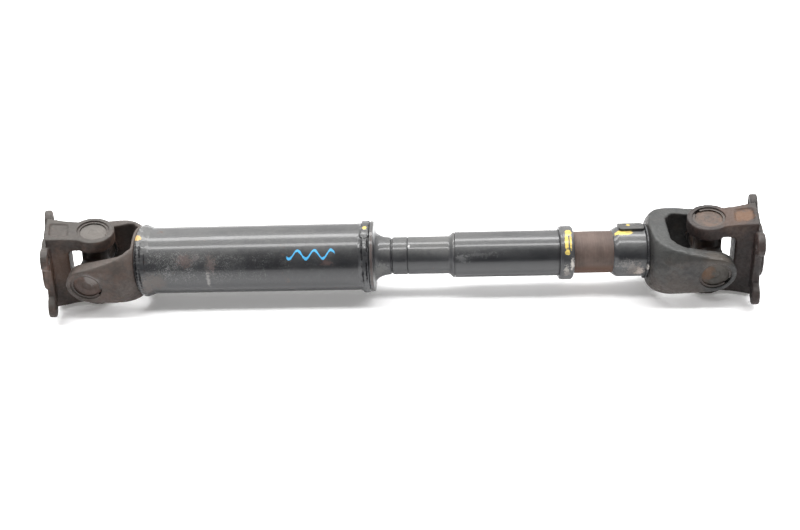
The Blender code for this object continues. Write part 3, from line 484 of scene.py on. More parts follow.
topCupSlip = slipCross + Vector(joints["slip_end_swing"]["axis"]) * bearingFace
slipFlangeOut = Vector(mounts["slip_end_flange_face"]["axis"])
tubeFlangeOut = Vector(mounts["tube_end_flange_face"]["axis"])
oldRust = (0.11, 0.055, 0.035)
bareScale = (0.19, 0.175, 0.165)
materials = {
    # spots: (centre, half size, colour, share, raggedness), marks: (centre, half size, colour) and
    # shaded grooves: (centre, half size, share), painted shade in the weld grooves, with sizes in mm along
    # and degrees round
    "tubePaint": makeBlackPaint(
        "tube_black_paint", 1.0, 0.5, 0.35, rust=0.5, stroke=True,
        spots=[((96, 52), (8, 13), (0.11, 0.074, 0.066), 0.50, 6.5),
               ((121, 60), (5, 19), (0.12, 0.090, 0.082), 0.50, 6.5),
               ((107, 49), (5, 8), (0.13, 0.115, 0.11), 0.4, 6.5),
               ((117, 88), (2.2, 16), (0.25, 0.24, 0.23), 0.7, 4.2),
               ((232, 60), (6, 6), (0.10, 0.055, 0.048), 0.4, 6.5),
               ((66, 92), (12, 22), (0.070, 0.056, 0.048), 0.8, 3.0)]),
    "stubPaint": makeBlackPaint(
        "stub_black_paint", 0.25, 1.0, 0.5, rough=0.46, rust=0.6, lumpy=0.12,
        spots=[((281, 95), (9, 28), (0.13, 0.13, 0.12), 0.4, 4.4),
               ((308.5, 22), (1.6, 6), (0.50, 0.50, 0.49), 0.8, 1.4),
               ((273.6, 60), (1.6, 80), (0.075, 0.048, 0.04), 0.5, 2.4)]),
    "dustTubePaint": makeBlackPaint(
        "dust_tube_black_paint", 0.0, 0.45, 0.3, rust=0.2,
        spots=[((359, 60), (7, 10), (0.20, 0.20, 0.20), 0.28, 7.5),
               ((374, 52), (17, 7), (0.17, 0.17, 0.17), 0.20, 8.0)]),
    "collarPaint": makeBlackPaint(
        "collar_black_paint", 0.0, 1.0, 0.4, rough=0.46, rust=0.4, lumpy=0.1,
        marks=[((459.5, 5), (3.6, 9), "yellow"), ((457.3, 30), (1.9, 26), "yellow"),
               ((461.0, 27), (1.1, 22), "yellow"), ((457.6, 52), (2.7, 6), "yellow")],
        spots=[((462.6, 78), (2.4, 18), (0.45, 0.42, 0.39), 0.95, 3.4),
               ((457.0, 90), (2.6, 14), (0.33, 0.31, 0.28), 0.8, 4.0),
               ((458, 102), (4, 9), (0.18, 0.16, 0.15), 0.7, 4.0)]),
    "barrelPaint": makeBlackPaint(
        "barrel_black_paint", 0.0, 0.8, 0.35, rust=0.4, marks=[((511.5, 3.5), (10.0, 8.5), "yellow")],
        spots=[((526, 104), (5.4, 17), (0.42, 0.36, 0.32), 0.95, 3.4),
               ((520, 98), (10, 24), (0.15, 0.12, 0.10), 0.5, 5.5),
               ((514, 84), (9, 14), (0.20, 0.19, 0.18), 0.3, 6.5)]),
    "tubeWeld": makeBlackPaint(
        "tube_weld_paint", 0.0, 1.0, 0.45, rough=0.34, rust=0.6, lumpy=0.35,
        marks=[((49.8, 12), (3.8, 6.5), "orange")],
        spots=[((58, 100), (8, 30), (0.080, 0.063, 0.054), 0.8, 3.0)],
        # dark lines of painted shade in the bead's grooves
        shadedGrooves=[((49.4, 58), (1.3, 50), 0.9), ((52.4, 80), (1.1, 24), 0.8),
                ((53.2, 40), (1.2, 16), 0.8), ((57.0, 52), (0.9, 18), 0.6)]),
    "stubWeld": makeBlackPaint(
        "stub_weld_paint", 0.0, 1.0, 0.35, rough=0.34, rust=0.5, lumpy=0.4,
        marks=[((267.0, 0), (2.2, 4.0), "yellow")],
        # dark lines of painted shade in the bead's grooves
        shadedGrooves=[((264.8, 44), (1.3, 26), 0.8), ((265.6, 84), (1.2, 18), 0.8),
                ((269.8, 34), (1.0, 18), 0.9), ((269.2, 76), (1.2, 24), 0.9)]),
    "slipWeld": makeBlackPaint(
        "slip_weld_paint", 0.0, 0.4, 0.15, rough=0.6, rust=0.4, lumpy=0.5,
        # a dark line of painted shade in the weld's groove
        shadedGrooves=[((532.0, 40), (1.0, 120), 0.75)],
        spots=[((532.6, 88), (1.8, 10), (0.60, 0.57, 0.54), 0.95, 2.2)]),
    # dark, light, dust and rust colours, shares of rust and dust; patches: (centre, radius, colour, share)
    "tubeFlange": makeForged(
        "tube_flange_forging", (0.022, 0.015, 0.012), (0.052, 0.036, 0.029), (0.050, 0.046, 0.041),
        oldRust, 0.50, 0.90,
        patches=[(fromCross(tubeCross, 0, -12, 8) + tubeFlangeOut * 27 * mm, 22 * mm,
                  (0.075, 0.042, 0.027), 0.75)]),
    "tubeYoke": makeForged(
        "tube_yoke_forging", (0.032, 0.024, 0.020), (0.060, 0.047, 0.041), (0.070, 0.064, 0.058),
        (0.085, 0.046, 0.032), 0.40, 0.55,
        patches=[(fromCross(tubeCross, 6, -37, 9), 9 * mm, bareScale, 0.55)]),
    "slipYoke": makeForged(
        "slip_yoke_forging", (0.0085, 0.0088, 0.0092), (0.029, 0.028, 0.026), (0.050, 0.053, 0.050),
        (0.055, 0.034, 0.024), 0.45, 0.45, rough=0.52, grain=1.6, specular=0.42, flecks=0.8,
        patches=[(fromCross(slipCross, -34, -30, -26), 30 * mm, (0.046, 0.034, 0.027), 0.8),
                 (fromCross(slipCross, 0, -40, 14), 16 * mm, (0.050, 0.038, 0.028), 0.6)]),
    "slipFlange": makeForged(
        "slip_flange_forging", (0.009, 0.0065, 0.006), (0.024, 0.014, 0.012), (0.036, 0.032, 0.029),
        (0.045, 0.021, 0.015), 0.55, 0.60,
        patches=[(topCupSlip + slipFlangeOut * 22 * mm, 22 * mm, (0.062, 0.036, 0.025), 0.75),
                 (topCupSlip + slipFlangeOut * 31 * mm, 11 * mm, (0.115, 0.057, 0.027), 0.65)]),
    "cupTubeTop": makeForged(
        "tube_top_cup_steel", (0.044, 0.037, 0.032), (0.080, 0.069, 0.060), (0.100, 0.092, 0.083),
        (0.11, 0.066, 0.045), 0.4, 0.80, grain=0.7),
    "cupTubeFront": makeForged(
        "tube_front_cup_steel", (0.034, 0.021, 0.016), (0.060, 0.037, 0.029), (0.12, 0.11, 0.10),
        (0.085, 0.041, 0.027), 0.6, 0.2, grain=0.8,
        patches=[(fromCross(tubeCross, 6, -37, 7), 8 * mm, bareScale, 0.65)]),
    "cupSlipTop": makeForged(
        "slip_top_cup_steel", (0.036, 0.026, 0.021), (0.066, 0.048, 0.038), (0.078, 0.063, 0.053),
        (0.11, 0.052, 0.028), 0.8, 0.45, grain=0.6),
    "cupSlipFront": makeForged(
        "slip_front_cup_steel", (0.030, 0.026, 0.021), (0.054, 0.046, 0.037), (0.080, 0.070, 0.060),
        (0.095, 0.049, 0.024), 0.45, 0.2, grain=0.6,
        patches=[(fromCross(slipCross, -9, -37, 2), 10 * mm, (0.085, 0.040, 0.016), 0.85)]),
    "cupHidden": makeForged(
        "cup_steel", (0.035, 0.026, 0.022), (0.065, 0.050, 0.042), (0.09, 0.08, 0.07), oldRust, 0.5, 0.3,
        grain=0.7),
    "ring": makeForged(
        "snap_ring_steel", (0.016, 0.012, 0.010), (0.045, 0.033, 0.027), (0.070, 0.060, 0.052),
        (0.08, 0.045, 0.03), 0.4, 0.5, rough=0.5, grain=0.4),
    "cross": makeForged(
        "cross_steel", (0.010, 0.008, 0.007), (0.028, 0.021, 0.018), (0.045, 0.040, 0.035),
        (0.06, 0.032, 0.02), 0.5, 0.3, rough=0.5),
    "weight": makeForged(
        "weight_steel", (0.012, 0.012, 0.013), (0.036, 0.036, 0.037), (0.075, 0.073, 0.068),
        (0.06, 0.042, 0.03), 0.3, 0.6, rough=0.5, grain=0.5,
        patches=[(fromCross(tubeCross, 516.5, 7, 26.5), 2.2 * mm, blackPaint["yellow"], 0.9)]),
}


def makeGround():
    # the sleeve's ground outside, with a thin even film of rust and fine turning marks
    material, tree, shader, place = startMaterial("ground_sleeve_steel", 0.22)
    turn = shaftPlace(tree, place)[1]
    cloud = noiseAt(tree, place, 45, 6, 0.6)
    rings = noiseAt(tree, place, 260, 3, 0.6, stretch=(6.0, 0.25, 0.25))
    colour = blended(tree, between(tree, cloud, 0.35, 0.68), (0.070, 0.050, 0.043), (0.108, 0.079, 0.067))
    colour = blended(tree, between(tree, rings, 0.45, 0.75, 0.0, 0.30), colour, (0.150, 0.118, 0.102))
    low = between(tree, turn, 84, 104)
    colour = blended(tree, times(tree, low, 0.6), colour, (0.085, 0.038, 0.020))
    tree.links.new(colour, shader.inputs["Base Color"])
    shader.inputs["Metallic"].default_value = 0.06
    tree.links.new(between(tree, cloud, 0.3, 0.7, 0.54, 0.66), shader.inputs["Roughness"])
    setBump(tree, shader, [(rings, 0.15, 0.08), (noiseAt(tree, place, 500, 4), 0.2, 0.06)])
    return material


def makePlain(name, colour, second, rough, metallic, scale=200, strength=0.2):
    material, tree, shader, place = startMaterial(name)
    grain = noiseAt(tree, place, scale, 5, 0.6)
    tree.links.new(blended(tree, between(tree, grain, 0.35, 0.65), colour, second),
                   shader.inputs["Base Color"])
    tree.links.new(between(tree, grain, 0.3, 0.7, rough - 0.07, rough + 0.07), shader.inputs["Roughness"])
    shader.inputs["Metallic"].default_value = metallic
    setBump(tree, shader, [(grain, strength, 0.1)])
    return material


materials["ground"] = makeGround()
materials["rubber"] = makePlain("seal_rubber", (0.012, 0.012, 0.012), (0.028, 0.026, 0.025), 0.7, 0.0)
materials["brass"] = makePlain("nipple_brass", (0.42, 0.30, 0.12), (0.26, 0.18, 0.08), 0.4, 0.9, 300)
materials["bright"] = makePlain("bearing_steel", (0.40, 0.39, 0.38), (0.26, 0.24, 0.22), 0.3, 1.0, 300)
print("materials made")


# forged pieces: the CAD shape, its edges eased and its faces roughened, then machined again
forging = {
    "voxel": 0.85 * mm,
    "bumpSize": 7 * mm,
    # how far the edges are eased, and how rough the skin is
    "flange": (14, 0.28 * mm),
    "tubeYoke": (14, 0.35 * mm),
    "slipYoke": (30, 0.7 * mm),
    "cross": (5, 0.1 * mm),
}
bearing = {
    "ear": 39.5 * mm,
    "bore": 14.8 * mm,
    "groove": 16.0 * mm,
    "cupEnd": 36.6 * mm,
    "cupMouth": 24.4 * mm,
    "cup": 14.5 * mm,
    "cupInner": 12.4 * mm,
    "trunnion": 9.8 * mm,
    "ringWidth": 1.2 * mm,
    "grooveEarly": 0.05 * mm,
    "grooveSlack": 0.65 * mm,
    "mouthDepth": 0.35 * mm,
    "mouthRise": 0.45 * mm,
    "mouthFlare": 0.8 * mm,
    "plug": (25.9 * mm, 39.4 * mm, 16.4 * mm),      # from, to, radius
}
flange = {
    "inner": 39.3 * mm,
    "outer": 46.3 * mm,
    "pilot": 25.0 * mm,
    "pilotTop": 48.8 * mm,
    "holeSpacing": 59.0 * mm,
    "hole": 5.1 * mm,
    "faced": 0.12 * mm,
    "fill": 7.0 * mm,
    "inset": 0.3 * mm,
    "dish": 9.0 * mm,
}


def boreCutter(place):
    # the line bore with a ring groove and a chamfer at each end
    low = bearing["cupEnd"] - bearing["grooveEarly"]
    high = low + bearing["ringWidth"] + bearing["grooveSlack"]
    bore, groove, face = bearing["bore"], bearing["groove"], bearing["ear"]
    mouth, beyond = bore + bearing["mouthFlare"], face + 9 * mm
    half = [(0, bore, 0), (low, bore, 0), (low, groove, 0), (high, groove, 0), (high, bore, 0),
            (face - bearing["mouthDepth"], bore, 0), (face + bearing["mouthRise"], mouth, 0),
            (beyond, mouth, 0), (beyond, 0, 0)]
    line = [(-z, r, e) for z, r, e in reversed(half)] + half[1:]
    mesh = latheMesh("bore", line, 96)
    mesh.transform(place)
    return mesh


def melted(name, mesh, voxel, ease, pushes):
    # everything in the mesh made one skin, eased, then pushed in and out: (label, cloud size, depth, reach)
    thing = newObject(name, mesh)
    remesh = thing.modifiers.new("remesh", "REMESH")
    remesh.mode = "VOXEL"
    remesh.voxel_size = voxel
    soften = thing.modifiers.new("soften", "SMOOTH")
    soften.factor = 0.5
    soften.iterations = ease
    for label, size, depth, reach in pushes:
        clouds = bpy.data.textures.new(f"{name}_{label}", "CLOUDS")
        clouds.noise_scale = size
        clouds.noise_depth = depth
        push = thing.modifiers.new(label, "DISPLACE")
        push.texture = clouds
        push.texture_coords = "LOCAL"
        push.strength = reach
        push.mid_level = 0.5
    return baked(thing)


def takenMesh(thing):
    mesh = thing.data
    bpy.data.objects.remove(thing, do_unlink=True)
    return mesh


def roughened(name, mesh, ease, roughness):
    size = forging["bumpSize"]
    return melted(name, mesh, forging["voxel"], ease,
                  [("dents", size, 3, roughness), ("grain", size * 0.3, 3, roughness * 0.45)])


def machined(thing, steps):
    # cuts and additions one after another, each by its own mesh
    tools = []
    for operation, mesh in steps:
        tool = newObject("tool", mesh)
        tools.append(tool)
        work = thing.modifiers.new(operation.lower(), "BOOLEAN")
        work.operation = operation
        work.object = tool
        work.solver = "EXACT"
    baked(thing)
    for used in tools:
        bpy.data.objects.remove(used, do_unlink=True)
    return takenMesh(thing)


def rodMesh(name, low, high, radius, place, steps):
    mesh = latheMesh(name, [(low, 0, 0), (low, radius, 0), (high, radius, 0), (high, 0, 0)], steps)
    mesh.transform(place)
    return mesh


def plugs(place):
    # fill the bores so that the easing leaves their edges alone
    return [rodMesh("plug", *bearing["plug"], place @ pointZAlong[end], 48) for end in ("top", "bottom")]


def boxMesh(low, high, place):
    work = bmesh.new()
    size = [b - a for a, b in zip(low, high)]
    middle = [(a + b) / 2 for a, b in zip(low, high)]
    bmesh.ops.create_cube(work, size=1.0, matrix=Matrix.Translation(middle) @ Matrix.Diagonal((*size, 1.0)))
    mesh = meshFrom(work, "box")
    mesh.transform(place)
    return mesh


def flangeYoke(node, seat, material, body):
    place = seatOf[seat]
    half = flange["holeSpacing"] / 2
    faced, hole = flange["outer"] - flange["faced"], flange["hole"]
    solids = [mergedCad(node)] + plugs(place)
    cuts = [boreCutter(place)]
    for y, z in ((-half, -half), (-half, half), (half, -half), (half, half)):
        across = place @ Matrix.Translation((0, y, z)) @ pointZAlong["x"]
        solids.append(rodMesh("fill", flange["inner"] + flange["inset"], flange["outer"] - flange["inset"],
                              flange["fill"], across, 24))
        cut = latheMesh("hole", [(30 * mm, 0, 0), (30 * mm, hole, 0), (faced - 0.4 * mm, hole, 0),
                                 (faced + mm, hole + 1.4 * mm, 0), (faced + mm, 0, 0)], 40)
        cut.transform(across)
        cuts.append(cut)
    thing = roughened(node + "_rough", joinedMesh(node, solids), *forging["flange"])
    top, pilot, dish = flange["pilotTop"], flange["pilot"], flange["dish"]
    spigot = latheMesh("spigot", [(43 * mm, 0, 0), (43 * mm, pilot, 0), (top - 0.8 * mm, pilot, 0),
                                  (top, pilot - 0.8 * mm, 0), (top, dish, 0), (top - 1.2 * mm, dish - mm, 0),
                                  (top - 1.2 * mm, 0, 0)], 128)
    spigot.transform(place @ pointZAlong["x"])
    wide = 60 * mm
    facing = boxMesh((faced, -wide, -wide), (wide, wide, wide), place)
    mesh = machined(thing, [("DIFFERENCE", facing), ("UNION", spigot),
                            ("DIFFERENCE", joinedMesh("cuts", cuts))])
    return finish(node + "_forging", mesh, material, body, [node])


def shaftYoke(node, seat, material, body):
    place = seatOf[seat] @ pointZAlong["front"]
    solids = [mergedCad(node)] + plugs(place)
    thing = roughened(node + "_rough", joinedMesh(node, solids), *forging[seat])
    mesh = machined(thing, [("DIFFERENCE", boreCutter(place))])
    return finish(node + "_forging", mesh, material, body, [node])


def crossForging(node, material, body):
    mesh = takenMesh(roughened(node + "_rough", mergedCad(node), *forging["cross"]))
    return finish(node + "_forging", mesh, material, body, [node])


flangeYoke("tube_end_flange_yoke", "tubeFlange", materials["tubeFlange"], "tube_end_flange_body")
flangeYoke("slip_end_flange_yoke", "slipFlange", materials["slipFlange"], "slip_end_flange_body")
shaftYoke("tube_yoke", "tubeYoke", materials["tubeYoke"], "tube_shaft")
shaftYoke("slip_yoke", "slipYoke", materials["slipYoke"], "slip_shaft")
for prefix in ("tube_end", "slip_end"):
    crossForging(prefix + "_cross", materials["cross"], prefix + "_cross_body")
print("yokes and crosses forged")


# a tree that repeats one small piece round an axis
def repeatRoundTree():
    tree = bpy.data.node_groups.new("repeatRound", "GeometryNodeTree")
    face = tree.interface
    face.new_socket("Geometry", in_out="INPUT", socket_type="NodeSocketGeometry")
    for label, kind, value in (("Count", "NodeSocketInt", 24), ("Radius", "NodeSocketFloat", 0.01),
                               ("Size Change", "NodeSocketFloat", 0.0), ("Seed", "NodeSocketInt", 3)):
        face.new_socket(label, in_out="INPUT", socket_type=kind).default_value = value
    face.new_socket("Material", in_out="INPUT", socket_type="NodeSocketMaterial")
    face.new_socket("Geometry", in_out="OUTPUT", socket_type="NodeSocketGeometry")

    start = put(tree, "NodeGroupInput").outputs
    circle = put(tree, "GeometryNodeMeshCircle", {"Vertices": start["Count"], "Radius": start["Radius"]})
    step = maths(tree, "DIVIDE", 2 * math.pi, start["Count"])
    turn = maths(tree, "MULTIPLY", put(tree, "GeometryNodeInputIndex").outputs[0], step)
    spin = put(tree, "FunctionNodeEulerToRotation", {0: add(tree, "CombineXYZ", {2: turn}).outputs[0]})
    low = maths(tree, "SUBTRACT", 1.0, start["Size Change"])
    high = maths(tree, "ADD", 1.0, start["Size Change"])
    size = put(tree, "FunctionNodeRandomValue", {2: low, 3: high, "Seed": start["Seed"]}, data_type="FLOAT")
    placed = put(tree, "GeometryNodeInstanceOnPoints",
                 {"Points": circle.outputs[0], "Instance": start["Geometry"],
                  "Rotation": spin.outputs[0], "Scale": size.outputs[1]})
    real = put(tree, "GeometryNodeRealizeInstances", {0: placed.outputs[0]})
    painted = put(tree, "GeometryNodeSetMaterial", {"Geometry": real.outputs[0],
                                                    "Material": start["Material"]})
    tree.links.new(painted.outputs[0], put(tree, "NodeGroupOutput").inputs[0])
    return tree


repeatRound = repeatRoundTree()


def repeated(name, mesh, material, **inputs):
    # one piece repeated round Z, as a plain mesh
    thing = newObject(name, mesh)
    modifier = thing.modifiers.new("round", "NODES")
    modifier.node_group = repeatRound
    values = {"Material": material}
    values.update({key.replace("_", " "): value for key, value in inputs.items()})
    for item in repeatRound.interface.items_tree:
        if item.item_type == "SOCKET" and item.in_out == "INPUT" and item.name in values:
            modifier[item.identifier] = values[item.name]
    return takenMesh(baked(thing))


# bearings
cupShape = {
    "dimple": 4.6 * mm,
    "dimpleDepth": 0.55 * mm,
    "stepRadius": 9.6 * mm,
    "stepDepth": 0.18 * mm,
}


def cupMesh():
    end, mouth = bearing["cupEnd"], bearing["cupMouth"]
    radius, inner = bearing["cup"], bearing["cupInner"]
    dimple, deep = cupShape["dimple"], cupShape["dimpleDepth"]
    step, stepDeep = cupShape["stepRadius"], cupShape["stepDepth"]
    line = [(end - deep, 0), (end - deep, dimple - 0.7 * mm), (end - stepDeep, dimple + 0.3 * mm),
            (end - stepDeep, step), (end, step + 0.5 * mm), (end, radius - 0.9 * mm),
            (end - 0.9 * mm, radius), (mouth, radius), (mouth, inner), (end - 2.2 * mm, inner),
            (end - 2.2 * mm, 0)]
    return latheMesh("cup", line, 96, ease=0.35 * mm)


# half the gap in degrees, and where each ring's gap lies so that no two look alike
ringCut = {"steps": 88, "gap": 14, "wire": 3.2 * mm, "slack": 0.3 * mm, "bevel": 0.25 * mm,
           "turned": {"top": 2.4, "bottom": 1.1, "front": -0.5, "rear": 4.0}}


def ringMesh():
    # a wire ring with its gap, seated in the groove
    work = bmesh.new()
    outer = bearing["groove"] - ringCut["slack"]
    inner = outer - ringCut["wire"]
    low = bearing["cupEnd"] + ringCut["slack"]
    high = low + bearing["ringWidth"]
    steps, gap = ringCut["steps"], math.radians(ringCut["gap"])
    rows = []
    for step in range(steps + 1):
        turn = gap + (2 * math.pi - 2 * gap) * step / steps
        row = []
        for radius, z in ((outer, low), (outer, high), (inner, high), (inner, low)):
            row.append(work.verts.new((radius * math.cos(turn), radius * math.sin(turn), z)))
        rows.append(row)
    for first, second in zip(rows, rows[1:]):
        for side in range(4):
            after = (side + 1) % 4
            work.faces.new((first[side], first[after], second[after], second[side]))
    work.faces.new(rows[0])
    work.faces.new(reversed(rows[-1]))
    bmesh.ops.recalc_face_normals(work, faces=work.faces)
    edges = [edge for edge in work.edges if edge.calc_face_angle(0) > 0.8]
    bmesh.ops.bevel(work, geom=edges, offset=ringCut["bevel"], segments=2, profile=0.6, affect="EDGES")
    return meshFrom(work, "ring")


seal = {"low": 22.3 * mm, "high": 24.1 * mm}
needle = {"count": 34, "radius": 0.95 * mm}
nipple = {"seat": 23.4 * mm, "turn": -135, "flats": 3.5 * mm, "head": 2.3 * mm, "waist": 1.7 * mm}


def sealMesh():
    low, high = seal["low"], seal["high"]
    inner, outer = bearing["trunnion"] + 0.3 * mm, bearing["cup"] - 0.3 * mm
    line = [(high, inner), (high, outer - 0.8 * mm), (high - 0.9 * mm, outer), (low + 0.2 * mm, outer),
            (low, outer - 0.7 * mm), (low + 0.4 * mm, inner + 1.6 * mm), (low, inner + 0.6 * mm),
            (low + 0.2 * mm, inner)]
    return latheMesh("seal", line, 72, closed=True, ease=0.2 * mm)


def needleMesh():
    low, high = bearing["cupMouth"] + 1.3 * mm, bearing["cupEnd"] - 2.6 * mm
    return latheMesh("needle", [(low, 0), (low, needle["radius"]), (high, needle["radius"]), (high, 0)], 10)


def needleRing():
    pitch = (bearing["cupInner"] + bearing["trunnion"]) / 2
    return repeated("needles", needleMesh(), materials["bright"], Count=needle["count"], Radius=pitch)


def fitBearings(prefix, seats, seat, body, cupMaterials):
    for side in seats:
        place = seatOf[seat] @ pointZAlong[side]
        twist = Matrix.Rotation(ringCut["turned"][side], 4, "Z")
        finish(f"{prefix}_{side}_cup", cupMesh(), cupMaterials[side], body,
               [f"{prefix}_bearing_cup_{side}"], place)
        finish(f"{prefix}_{side}_ring", ringMesh(), materials["ring"], body,
               [f"{prefix}_snap_ring_{side}"], place @ twist)
        finish(f"{prefix}_{side}_seal", sealMesh(), materials["rubber"], body,
               [f"{prefix}_cup_seal_{side}"], place)
        finish(f"{prefix}_{side}_needles", needleRing(), materials["bright"], body,
               [f"{prefix}_needle_rollers_{side}"], place)


hiddenCup = materials["cupHidden"]
for end, name in (("tube", "Tube"), ("slip", "Slip")):
    for upper, lower, seat, body in (("top", "bottom", end + "Flange", end + "_end_flange_body"),
                                     ("front", "rear", end + "Yoke", end + "_shaft")):
        upperCup = materials[f"cup{name}{upper.capitalize()}"]
        fitBearings(end + "_end", (upper, lower), seat, body, {upper: upperCup, lower: hiddenCup})
print("bearings fitted")


def nippleMesh():
    # six-sided body, threaded neck and a ball head with a waist
    seat, across, ball = nipple["seat"], nipple["flats"], nipple["head"]
    flats = latheMesh("flats", [(seat, 0, 0), (seat, across, 0), (seat + 3.0 * mm, across, 0),
                                (seat + 3.4 * mm, 2.6 * mm, 0), (seat + 3.4 * mm, 0, 0)], 6)
    head = latheMesh("head", [(seat + 3.2 * mm, 0), (seat + 3.2 * mm, ball),
                              (seat + 4.8 * mm, nipple["waist"]), (seat + 6.3 * mm, ball),
                              (seat + 7.3 * mm, 1.4 * mm),
                              (seat + 7.3 * mm, 0.5 * mm), (seat + 6.9 * mm, 0)], 32, ease=0.4 * mm)
    return joinedMesh("nipple", [flats, head])


nippleTurn = Matrix.Rotation(math.radians(nipple["turn"]), 4, "X")
for prefix, seat in (("tube_end", "tubeCross"), ("slip_end", "slipCross")):
    finish(f"{prefix}_nipple", nippleMesh(), materials["brass"], f"{prefix}_cross_body",
           [f"{prefix}_grease_nipple"], seatOf[seat] @ nippleTurn, 30)


# turned pieces along the shaft
def alongShaft(name, line, material, body, nodes, steps=128, closed=False, ease=0.4 * mm, angle=38):
    # points are (mm along, mm radius); one with a third number is eased as far as its neighbours allow
    mesh = latheMesh(name, [(x * mm, radius * mm, *rest) for x, radius, *rest in line], steps, closed, ease)
    return finish(name, mesh, material, body, nodes, seatOf["shaft"] @ pointZAlong["x"], angle)


def pipe(name, low, high, inner, outer, material, node, steps):
    alongShaft(name, [(low, inner), (high, inner), (high, outer), (low, outer)], material, "tube_shaft",
               [node], steps, True)


tubeStart, tubeEnd, tubeOuter = spanOf("main_tube")
tubeWall = 2.0
pipe("tube_skin", tubeStart, tubeEnd, tubeOuter - tubeWall, tubeOuter, materials["tubePaint"],
     "main_tube", 160)

stub = {
    "face": 271.5,
    "rim": 34.3,
    "neck": 18.3,
    "groove": 291.6,
    "scribe": 307.0,
    "shoulder": 351.7,
    "dustTube": 22.1,
    "dustInner": 20.5,
    "splineEnd": 456.0,
    "root": 13.2,
    "bell": 9.2,            # how far the bell opens past the neck
    "spigot": 30.2,
    "rise": 6.0,
    "seat": 9.8,            # how far the dust tube is seated
    "tooth": (12.9, 14.8, 1.25),    # inner and outer reach, half width
    "teeth": 12,
}


def stubLine():
    face, neck, groove = stub["face"], stub["neck"], stub["groove"]
    bellStart, bellEnd = face + 3.5, groove - 1.2
    hollow = 26.2
    line = [(face + 5, 0), (face, hollow), (face - 13, hollow), (face - 13, stub["spigot"]),
            (face, stub["spigot"]), (face, stub["rim"]),
            (bellStart, stub["rim"] - 0.2)]
    for step in range(13):
        turn = math.pi / 2 * step / 12
        line.append((bellStart + (bellEnd - bellStart) * (1 - math.cos(turn)),
                     neck + stub["bell"] * (1 - math.sin(turn)), 0))
    line += [(groove - 0.2, neck - 1.4, 0.2), (groove + 0.5, neck - 1.2, 0.3), (groove + 1.3, neck, 0.5),
             (stub["scribe"] - 0.6, neck, 0.2), (stub["scribe"] - 0.15, neck - 0.75, 0.1),
             (stub["scribe"] + 0.15, neck - 0.75, 0.1), (stub["scribe"] + 0.6, neck, 0.2)]
    shoulder, rise = stub["shoulder"], stub["dustTube"] - neck
    for step in range(11):
        share = step / 10
        line.append((shoulder - stub["rise"] * (1 - share),
                     neck + rise * (0.5 - 0.5 * math.cos(math.pi * share)), 0))
    seat, under = shoulder + stub["seat"], stub["dustInner"] - 0.3
    return line + [(shoulder + 0.3, stub["dustTube"]), (shoulder + 0.35, under), (seat, under),
                   (seat, stub["root"]), (stub["splineEnd"], stub["root"]), (stub["splineEnd"], 0)]


def toothMesh(low, high, inner, outer, halfWidth):
    # one spline tooth along Z, its flanks leaning in
    work = bmesh.new()
    corners = []
    for z in (low, high):
        for x, y in ((inner, -halfWidth * 1.45), (outer, -halfWidth), (outer, halfWidth),
                     (inner, halfWidth * 1.45)):
            corners.append(work.verts.new((x * mm, y * mm, z * mm)))
    for face in ((0, 1, 2, 3), (7, 6, 5, 4), (0, 4, 5, 1), (1, 5, 6, 2), (2, 6, 7, 3), (3, 7, 4, 0)):
        work.faces.new([corners[index] for index in face])
    bmesh.ops.recalc_face_normals(work, faces=work.faces)
    return meshFrom(work, "tooth")


stubMesh = latheMesh("stub", [(x * mm, radius * mm, *[one * mm for one in rest])
                              for x, radius, *rest in stubLine()], 128, ease=0.5 * mm)
# the teeth stand out from the root by themselves, so the tree's circle has no radius here
teeth = repeated("teeth", toothMesh(stub["shoulder"] + stub["seat"] - 0.2, stub["splineEnd"] - 0.2,
                                    *stub["tooth"]), materials["stubPaint"], Count=stub["teeth"], Radius=0.0)
finish("stub_turning", joinedMesh("stub", [stubMesh, teeth]), materials["stubPaint"], "tube_shaft",
       ["splined_stub"], seatOf["shaft"] @ pointZAlong["x"])

dustTube = (352.3, 458.0)
pipe("dust_tube_skin", *dustTube, stub["dustInner"], stub["dustTube"], materials["dustTubePaint"],
     "dust_tube", 128)

collar = {"start": 451.2, "end": 465.0, "outer": 25.9, "seat": 22.4, "lip": 21.3}
start, end, outer, inside = collar["start"], collar["end"], collar["outer"], collar["end"] - 2.4
alongShaft("collar_ring",
           [(start + 0.2, 23.4, 0.4), (start + 0.1, 24.3, 0.5), (start + 1.0, 25.5, 0.6),
            (start + 2.0, 25.25, 0.4), (start + 3.0, outer, 0.9), (end - 2.2, outer, 1.4),
            (end - 0.6, outer - 1.4, 1.0), (end, outer - 3.0, 0.8), (end, collar["lip"], 0.3),
            (inside, collar["lip"], 0.3), (inside, collar["seat"], 0.2), (start + 0.2, collar["seat"], 0.2)],
           materials["collarPaint"], "tube_shaft", ["seal_collar"], 128, True)
alongShaft("dust_seal_lip", [(458.3, 20.5), (458.5, 22.0), (462.2, 22.1), (462.3, 21.4), (461.2, 20.9),
                             (459.4, 20.5)],
           materials["rubber"], "tube_shaft", ["dust_seal"], 96, True)

sleeve = {"outer": 20.1, "barrelAt": 502.0, "bore": 15.1}
sleeve["start"], sleeve["end"], sleeve["barrel"] = spanOf("slip_sleeve")
counterbore = sleeve["end"] - 6.7
mouth, step, outer, toothTip = sleeve["start"], sleeve["barrelAt"], sleeve["outer"], 13.6
sleeveLine = [(mouth + 1, toothTip), (mouth, 14.4), (mouth, 19.1), (mouth + 1, outer),
              (step - 0.6, outer, 0.1), (step, outer + 0.5, 0.3), (step, 21.2, 0.3),
              (step + 3.8, 23.6, 1.0), (step + 5.4, sleeve["barrel"], 1.2),
              (sleeve["end"], sleeve["barrel"]), (sleeve["end"], 17.0), (counterbore, 17.0),
              (counterbore, sleeve["bore"]), (step, sleeve["bore"]), (step, toothTip)]
sleeveThing = alongShaft("sleeve_turning", sleeveLine, [materials["ground"], materials["barrelPaint"]],
                         "slip_shaft", ["slip_sleeve"], 128, True)
for face in sleeveThing.data.polygons:
    if face.center.x > tubeCross.x + (step - 0.3) * mm:
        face.material_index = 1
plugAt = spanOf("grease_plug")[0]
